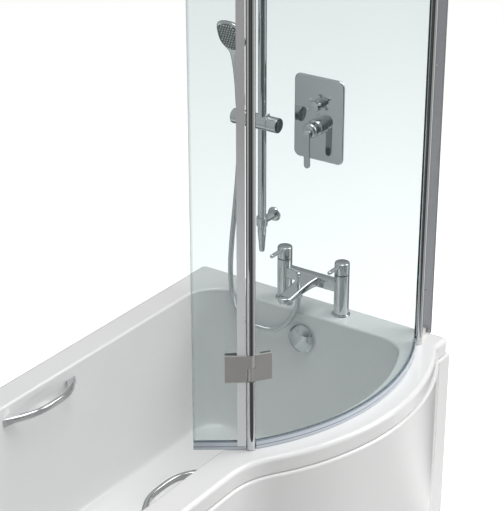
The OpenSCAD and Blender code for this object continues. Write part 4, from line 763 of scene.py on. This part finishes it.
def nozzles():
    """Soft nozzles in offset rows all over the plate."""
    wide, thick = hand_at("wide"), hand_at("thick")
    nozzle = [(2.3, -0.5), (2.3, 1.0), (1.9, 1.7), (1.0, 2.0), (0, 2.0)]
    made = []
    for k in range(NOZZLE_ROWS):
        high = PLATE_MID + (k - (NOZZLE_ROWS - 1) / 2) * NOZZLE_RISE
        room = (wide(high) / 2 - 8.5) * (1 - abs((high - PLATE_MID) / PLATE_HALF) ** 5) ** 0.5
        count = int(room / (NOZZLE_PITCH / 2)) // 2 * 2 + k % 2
        x = float(hand_line(CONE_TOP + high) - thick(high) / 2 - 1.7)
        made += [turned(nozzle, (x, HAND_Y + y, CONE_TOP + high), "-x", 16)
                 for y in (np.arange(count) - (count - 1) / 2) * NOZZLE_PITCH]
    return made


def make_handset():
    """The handset with the cone in its holder, its nozzle plate and nozzles, and the hose's nut."""
    cone = turned([(0, 0), (9.5, 0), (12, CONE_H), (0, CONE_H)], (HAND_X, HAND_Y, CONE_TOP - CONE_H))
    stands_for("handset_body", "handset", "chrome", shell(hand_rings()), cone)
    plate = stands_for("spray_face", "handset", "dark_plastic", shell(plate_rings()))
    tips = skin("spray_nozzles", *nozzles())
    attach(tips, "handset")
    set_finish(tips, "white_plastic")
    nut = [(0, 0), (7.6, 0), (8, 0.5), (8.6, 12), (8.2, 12.6), (8.7, 13.2), (9.5, 27.5), (0, 27.5)]
    stands_for("handset_nut", "handset", "chrome", turned(nut, (HAND_X, HAND_Y, 972)))
    return plate, tips


spray_plate, spray_nozzles = make_handset()


# --- wall valve ---------------------------------------------------------------------------
PLATE_Y, PLATE_Z, PLATE_W, PLATE_H, PLATE_R = -378, 1047, 150, 228, 18
UPPER_Z, LOWER_Z = 1088, 1028
# Distance in front of the wall and height over the hub's middle
ARM_LINE = [(-36, -9), (-48, -2), (-57, 1), (-60, -6), (-59.5, -22), (-58.6, -50), (-57.2, -84),
            (-56.9, -99.4)]
ARM_HALF, ARM_THICK = 9, 5.4


def plate_of(depths, edge):
    """Rings of the rounded plate at distances from the wall, drawn in by an edge at each."""
    rings = []
    for depth, d in zip(depths, edge):
        p = oblong(PLATE_W - 2 * d, PLATE_H - 2 * d, PLATE_R - d, 12)
        rings.append(np.column_stack([np.full(len(p), -depth), PLATE_Y + p[:, 0], PLATE_Z + p[:, 1]]))
    return rings


def arm_rings():
    """Rings of the lever's arm: a flat bar along a smooth line in front of the hub, then down. It
    thins from the hub by a falling exponential, and its end is round."""
    line = spline(ARM_LINE, 9)
    ahead = unit(np.gradient(line, axis=0))
    out = np.stack([ahead[:, 1], -ahead[:, 0]], -1)
    run = run_of(line)
    left = np.minimum(run[-1] - run + 0.3, ARM_HALF) / ARM_HALF
    half = ARM_HALF * np.sqrt(np.clip(1 - (1 - left) ** 2, 0.001, 1))
    thick = ARM_THICK + 2.4 * np.exp(-run / 20)
    rings = []
    for k in range(len(line)):
        p = oblong(thick[k], 2 * half[k], min(1.8, half[k] * 0.9), 5)
        rings.append(np.column_stack([line[k, 0] + out[k, 0] * p[:, 0], PLATE_Y + p[:, 1],
                                      LOWER_Z + line[k, 1] + out[k, 1] * p[:, 0]]))
    return rings


def make_cross():
    """The outlet control: a hub with two crossed bars that end in balls."""
    parts = [turned(bar(14, 18.6, 32, 1.2), (0, PLATE_Y, UPPER_Z), "-x", 64)]
    half = 20
    for turn in (-30, 60):
        rod = turned(bar(2.4, -half, half), axis="y", count=20)
        balls = [turned(ball(4.2, end), axis="y", count=24) for end in (-half, half)]
        parts += [placed(one, turn, "x", (-28, PLATE_Y, UPPER_Z)) for one in (rod, *balls)]
    stands_for("valve_cross", "outlet_control", "chrome", *parts)


def make_valve():
    """The wall plate with its two sleeves, the outlet control and the flow lever."""
    plate = plate_of((0, 2.4, 3.7, 4.6, 5), (0, 0, 0.6, 1.6, 3.2))
    stands_for("valve_plate", "bath", "chrome", shell(plate))
    sleeve = [(0, 0), (23, 0), (23, 18), (22.2, 22), (20.6, 25), (18.8, 26.4), (17, 27), (0, 27)]
    stands_for("valve_sleeves", "bath", "chrome",
               turned(bar(15, 0, 18, 0.8), (0, PLATE_Y, UPPER_Z), "-x", 64),
               turned(sleeve, (0, PLATE_Y, LOWER_Z), "-x", 64))
    make_cross()
    hub = [(0, 27.6), (19.2, 27.6), (20, 28.4), (20, 44.6), (18.6, 48), (16.6, 50), (14, 51), (6, 51.3),
           (0, 51.4)]
    stands_for("valve_lever", "flow_lever", "chrome", turned(hub, (0, PLATE_Y, LOWER_Z), "-x", 64),
               shell(arm_rings()))


make_valve()


# --- materials ----------------------------------------------------------------------------
class Wire:
    """One output of a shader's node; sums, products and powers with it become Math nodes."""

    def __init__(self, tree, socket):
        self.tree, self.socket = tree, socket

    def node(self, kind, settings=(), values=(), out=0):
        """Adds a node of any kind, sets its options, fills or links its inputs and returns one output."""
        made = self.tree.nodes.new(kind)
        for key, value in dict(settings).items():
            setattr(made, key, value)
        for key, value in dict(values).items():
            if isinstance(value, Wire):
                self.tree.links.new(value.socket, made.inputs[key])
            else:
                made.inputs[key].default_value = value
        return Wire(self.tree, made.outputs[out]) if len(made.outputs) else made

    def math(self, operation, *others):
        values = dict(enumerate([self, *others])) if others else {0: self}
        return self.node("ShaderNodeMath", {"operation": operation}, values)

    def __add__(self, other):
        return self.math("ADD", other)

    def __sub__(self, other):
        return self.math("SUBTRACT", other)

    def __mul__(self, other):
        return self.math("MULTIPLY", other)

    def __truediv__(self, other):
        return self.math("DIVIDE", other)

    def __pow__(self, other):
        return self.math("POWER", other)

    def __rsub__(self, other):
        return self.node("ShaderNodeMath", {"operation": "SUBTRACT"}, {0: other, 1: self})

    def __rtruediv__(self, other):
        return self.node("ShaderNodeMath", {"operation": "DIVIDE"}, {0: other, 1: self})

    __radd__ = __add__
    __rmul__ = __mul__


def shader(name):
    """An empty material: its first wire gives object coordinates, and it comes with its output node."""
    material = bpy.data.materials.new(name)
    material.use_nodes = True
    tree = material.node_tree
    tree.nodes.clear()
    output = tree.nodes.new("ShaderNodeOutputMaterial")
    coords = tree.nodes.new("ShaderNodeTexCoord")
    return material, output, Wire(tree, coords.outputs["Object"])


def noise(coords, scale, detail=3.0, stretch=(1, 1, 1)):
    """Noise from 0 to 1 at this scale in features to the metre, stretched along the axes."""
    mapped = coords.node("ShaderNodeMapping", {}, {"Vector": coords, "Scale": stretch})
    return coords.node("ShaderNodeTexNoise", {}, {"Vector": mapped, "Scale": scale, "Detail": detail},
                       "Fac")


def blend_colour(wire, low, high):
    """A colour between two, by a wire from 0 to 1."""
    return wire.node("ShaderNodeMix", {"data_type": "RGBA"},
                     {0: wire, 6: (*low, 1), 7: (*high, 1)}, 2)


def surface(name, low, high, rough, vary, scale, metallic=0.0, grain=0.0, stretch=(1, 1, 1), coat=0.0):
    """A surface whose colour drifts between two tones and whose roughness and height carry fine noise."""
    material, output, coords = shader(name)
    drift = noise(coords, scale, 3, stretch)
    fine = noise(coords, scale * 14, 2, stretch)
    values = {"Base Color": blend_colour(drift, low, high), "Metallic": metallic,
              "Roughness": rough + (fine - 0.5) * vary, "Coat Weight": coat, "Coat Roughness": 0.04}
    if grain:
        values["Normal"] = coords.node("ShaderNodeBump", {}, {
            "Height": fine, "Strength": grain, "Distance": 0.0004})
    body = coords.node("ShaderNodeBsdfPrincipled", {}, values)
    coords.tree.links.new(body.socket, output.inputs["Surface"])
    return material


def strip_finish(name):
    """The closing strip: a pale lower part that passes into plain grey between two heights."""
    material, output, coords = shader(name)
    z = coords.node("ShaderNodeSeparateXYZ", {}, {0: coords}, "Z")
    low, high = 0.95, 1.35
    share = z.node("ShaderNodeMapRange", {"interpolation_type": "SMOOTHSTEP"},
                   {0: z, 1: low, 2: high, 3: 0.0, 4: 1.0})
    fine = noise(coords, 40, 2, (1, 1, 0.1))
    body = coords.node("ShaderNodeBsdfPrincipled", {}, {
        "Base Color": blend_colour(share, (0.87, 0.90, 0.91), (0.60, 0.60, 0.60)),
        "Roughness": 0.3 + fine * 0.06})
    coords.tree.links.new(body.socket, output.inputs["Surface"])
    return material


def seal_finish(name):
    """The wiping strip: pale blue plastic with a darker line along its upper edge and its step."""
    material, output, coords = shader(name)
    z = coords.node("ShaderNodeSeparateXYZ", {}, {0: coords}, "Z")
    upper_edge, step_edge = 0.5512, 0.5400
    upper = (1 - (z - upper_edge).math("ABSOLUTE") / 0.0016).math("MAXIMUM", 0.0)
    step = (1 - (z - step_edge).math("ABSOLUTE") / 0.0018).math("MAXIMUM", 0.0)
    tone = blend_colour((upper + step).math("MINIMUM", 1.0), (0.66, 0.71, 0.78), (0.20, 0.23, 0.27))
    fine = noise(coords, 60, 2)
    body = coords.node("ShaderNodeBsdfPrincipled", {}, {"Base Color": tone, "Roughness": 0.2 + fine * 0.08})
    coords.tree.links.new(body.socket, output.inputs["Surface"])
    return material


def glass(name, tint, edge, share, side):
    """Clear sheet: light passes with a faint tint and a share of it comes back as a sharp reflection,
    a larger one within four millimetres of the upright edge at this x, which so shows its own colour."""
    material, output, coords = shader(name)
    streak = noise(coords, 3, 2)
    across = coords.node("ShaderNodeSeparateXYZ", {}, {0: coords}, "X")
    near = (1 - (across - side).math("ABSOLUTE") / 0.004).math("MAXIMUM", 0.0)
    through = coords.node("ShaderNodeBsdfTransparent", {}, {"Color": (*tint, 1)})
    shine = coords.node("ShaderNodeBsdfPrincipled", {}, {
        "Base Color": (*edge, 1), "Metallic": 0.0, "Roughness": 0.02 + streak * 0.02})
    back = streak * 0.02 + share + near * 0.5
    mixed = coords.node("ShaderNodeMixShader", {}, {0: back, 1: through, 2: shine})
    coords.tree.links.new(mixed.socket, output.inputs["Surface"])
    return material


# Low and high colour, roughness and its change, scale, metallic, grain, stretch
MATERIALS = {
    "white_acrylic": surface("white acrylic", (0.85, 0.85, 0.845), (0.88, 0.88, 0.875),
                             0.16, 0.03, 6, coat=0.4),
    "chrome": surface("chrome", (0.58, 0.59, 0.60), (0.66, 0.67, 0.68), 0.06, 0.03, 20, 1.0),
    "brass": surface("brass", (0.42, 0.29, 0.12), (0.55, 0.40, 0.18), 0.34, 0.12, 25, 1.0, 0.2),
    "steel": surface("zinc steel", (0.38, 0.39, 0.40), (0.52, 0.53, 0.54), 0.38, 0.15, 22, 1.0, 0.2),
    "board": surface("raw board", (0.42, 0.29, 0.15), (0.60, 0.45, 0.26),
                     0.75, 0.1, 30, 0, 0.5, (0.15, 1, 1)),
    "seal": seal_finish("clear strip"),
    "pale_strip": strip_finish("pale strip"),
    "aluminium": surface("aluminium", (0.34, 0.35, 0.37), (0.42, 0.43, 0.45),
                         0.24, 0.06, 16, 1.0, 0, (1, 1, 0.05)),
    "dark_plastic": surface("dark plastic", (0.05, 0.055, 0.06), (0.09, 0.095, 0.10),
                            0.45, 0.1, 30, 0, 0.3),
    "white_plastic": surface("white plastic", (0.74, 0.74, 0.72), (0.80, 0.80, 0.78),
                             0.38, 0.08, 18, 0, 0.2),
    "glass": glass("pane", (0.90, 0.93, 0.93), (0.40, 0.50, 0.49), 0.04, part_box("fold_glass")[0].x),
}
satin = surface("satin metal", (0.62, 0.605, 0.60), (0.68, 0.665, 0.66), 0.34, 0.05, 30, 0.5)
grey_rubber = surface("grey rubber", (0.16, 0.17, 0.17), (0.20, 0.21, 0.21), 0.4, 0.1, 30)
pale_rubber = surface("pale rubber", (0.68, 0.70, 0.70), (0.76, 0.78, 0.78), 0.4, 0.1, 30)
SATIN_NODES = ("screen_hinges", "fold_hinges")


def dress():
    """Every node of the frame gets the finish of its slot, the hinge leaves the satin one, and every
    new piece the finish of its own slot unless it has one already."""
    slot_of = {part["node"]: part["material_slot"] for part in frame["record"]["subparts"]}
    for node, piece in frame["nodes"].items():
        piece.data.materials.clear()
        piece.data.materials.append(satin if node in SATIN_NODES else MATERIALS[slot_of[node]])
    for piece in bpy.data.objects:
        if piece.get("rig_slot") and not piece.data.materials:
            piece.data.materials.append(MATERIALS[piece["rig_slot"]])


spray_plate.data.materials.append(grey_rubber)
spray_nozzles.data.materials.append(pale_rubber)
dress()


# --- floor and light ----------------------------------------------------------------------
def bands(turn):
    """Brightness mirrored by polished metal at an angle round the room: two broad pale bands, crossed
    by seven faint ones, with dark between them."""
    broad = (turn * 2 + 3.5).math("SINE") * 0.38
    fine = (turn * 7 + 1.0).math("SINE") * 0.16
    return (broad + fine + 0.5).math("MAXIMUM", 0.0) ** 2 * 0.85 + 0.05


def make_floor():
    """A wide pale floor under the bath. It glows a little, so that its open parts are white and
    the bath's shadow still shows on it."""
    mesh = bpy.data.meshes.new("floor")
    w, z = 30, -0.001
    mesh.from_pydata([(-w, -w, z), (w, -w, z), (w, w, z), (-w, w, z)], [], [(0, 1, 2, 3)])
    floor = bpy.data.objects.new("floor", mesh)
    bpy.context.collection.objects.link(floor)
    material, output, coords = shader("floor")
    path = coords.tree.nodes.new("ShaderNodeLightPath")
    seen = Wire(coords.tree, path.outputs["Is Camera Ray"])
    tone = blend_colour(noise(coords, 2, 2), (0.80, 0.80, 0.80), (0.82, 0.82, 0.82))
    body = coords.node("ShaderNodeBsdfPrincipled", {}, {"Base Color": tone, "Roughness": 0.9})
    glow = coords.node("ShaderNodeEmission", {}, {"Color": (1, 1, 1, 1), "Strength": seen * 0.66})
    both = coords.node("ShaderNodeAddShader", {}, {0: body, 1: glow})
    x, y = (coords.node("ShaderNodeSeparateXYZ", {}, {0: coords}, axis) for axis in "XY")
    mirrored = bands((y + 0.1).math("ARCTAN2", x - 0.6))
    shown = coords.node("ShaderNodeEmission", {}, {"Color": (1, 1, 1, 1), "Strength": mirrored})
    glossy = Wire(coords.tree, path.outputs["Is Glossy Ray"])
    whole = coords.node("ShaderNodeMixShader", {}, {0: glossy, 1: both, 2: shown})
    coords.tree.links.new(whole.socket, output.inputs["Surface"])
    mesh.materials.append(material)


def make_world():
    """White where the camera sees it; an even soft light that grows towards the room side; upright
    pale and dark bands where polished metal mirrors it, and an even tone high up."""
    world = bpy.data.worlds.new("room")
    bpy.context.scene.world = world
    world.use_nodes = True
    tree = world.node_tree
    tree.nodes.clear()
    output = tree.nodes.new("ShaderNodeOutputWorld")
    coords = Wire(tree, tree.nodes.new("ShaderNodeTexCoord").outputs["Generated"])
    path = tree.nodes.new("ShaderNodeLightPath")
    camera = Wire(tree, path.outputs["Is Camera Ray"])
    glossy = Wire(tree, path.outputs["Is Glossy Ray"])
    x, y, z = (coords.node("ShaderNodeSeparateXYZ", {}, {0: coords}, axis) for axis in "XYZ")
    lift = z.node("ShaderNodeMapRange", {"interpolation_type": "SMOOTHSTEP"},
                  {0: z, 1: -0.1, 2: 0.8, 3: 0.0, 4: 1.0})
    room = (0 - y).math("MAXIMUM", 0.0) * 0.50 + 0.20
    mirrored = bands(y.math("ARCTAN2", x)) * (1 - lift) + lift * 0.60
    level = (room * (1 - glossy) + mirrored * glossy) * (1 - camera) + camera
    back = coords.node("ShaderNodeBackground", {}, {"Color": (1, 1, 1, 1), "Strength": level})
    tree.links.new(back.socket, output.inputs["Surface"])


def make_light(name, at, look, size, power):
    """A soft square light at a point, facing another, in row-frame metres."""
    data = bpy.data.lights.new(name, "AREA")
    data.shape = "RECTANGLE"
    data.size, data.size_y = size
    data.energy = power
    light = bpy.data.objects.new(name, data)
    light.location = at
    light.rotation_euler = (Vector(look) - Vector(at)).to_track_quat("-Z", "Y").to_euler()
    bpy.context.collection.objects.link(light)


make_floor()
make_world()
make_light("key", (0.2, -0.4, 4.0), (0.2, 0, 0.6), (2.0, 2.0), 62)
make_light("far", (2.6, -1.8, 3.6), (0, 0, 0.5), (1.8, 1.8), 52)
make_light("side", (2.4, -3.4, 2.2), (0, 0, 0.7), (1.2, 2.6), 26)

scene = bpy.context.scene
scene.view_settings.view_transform = "Standard"
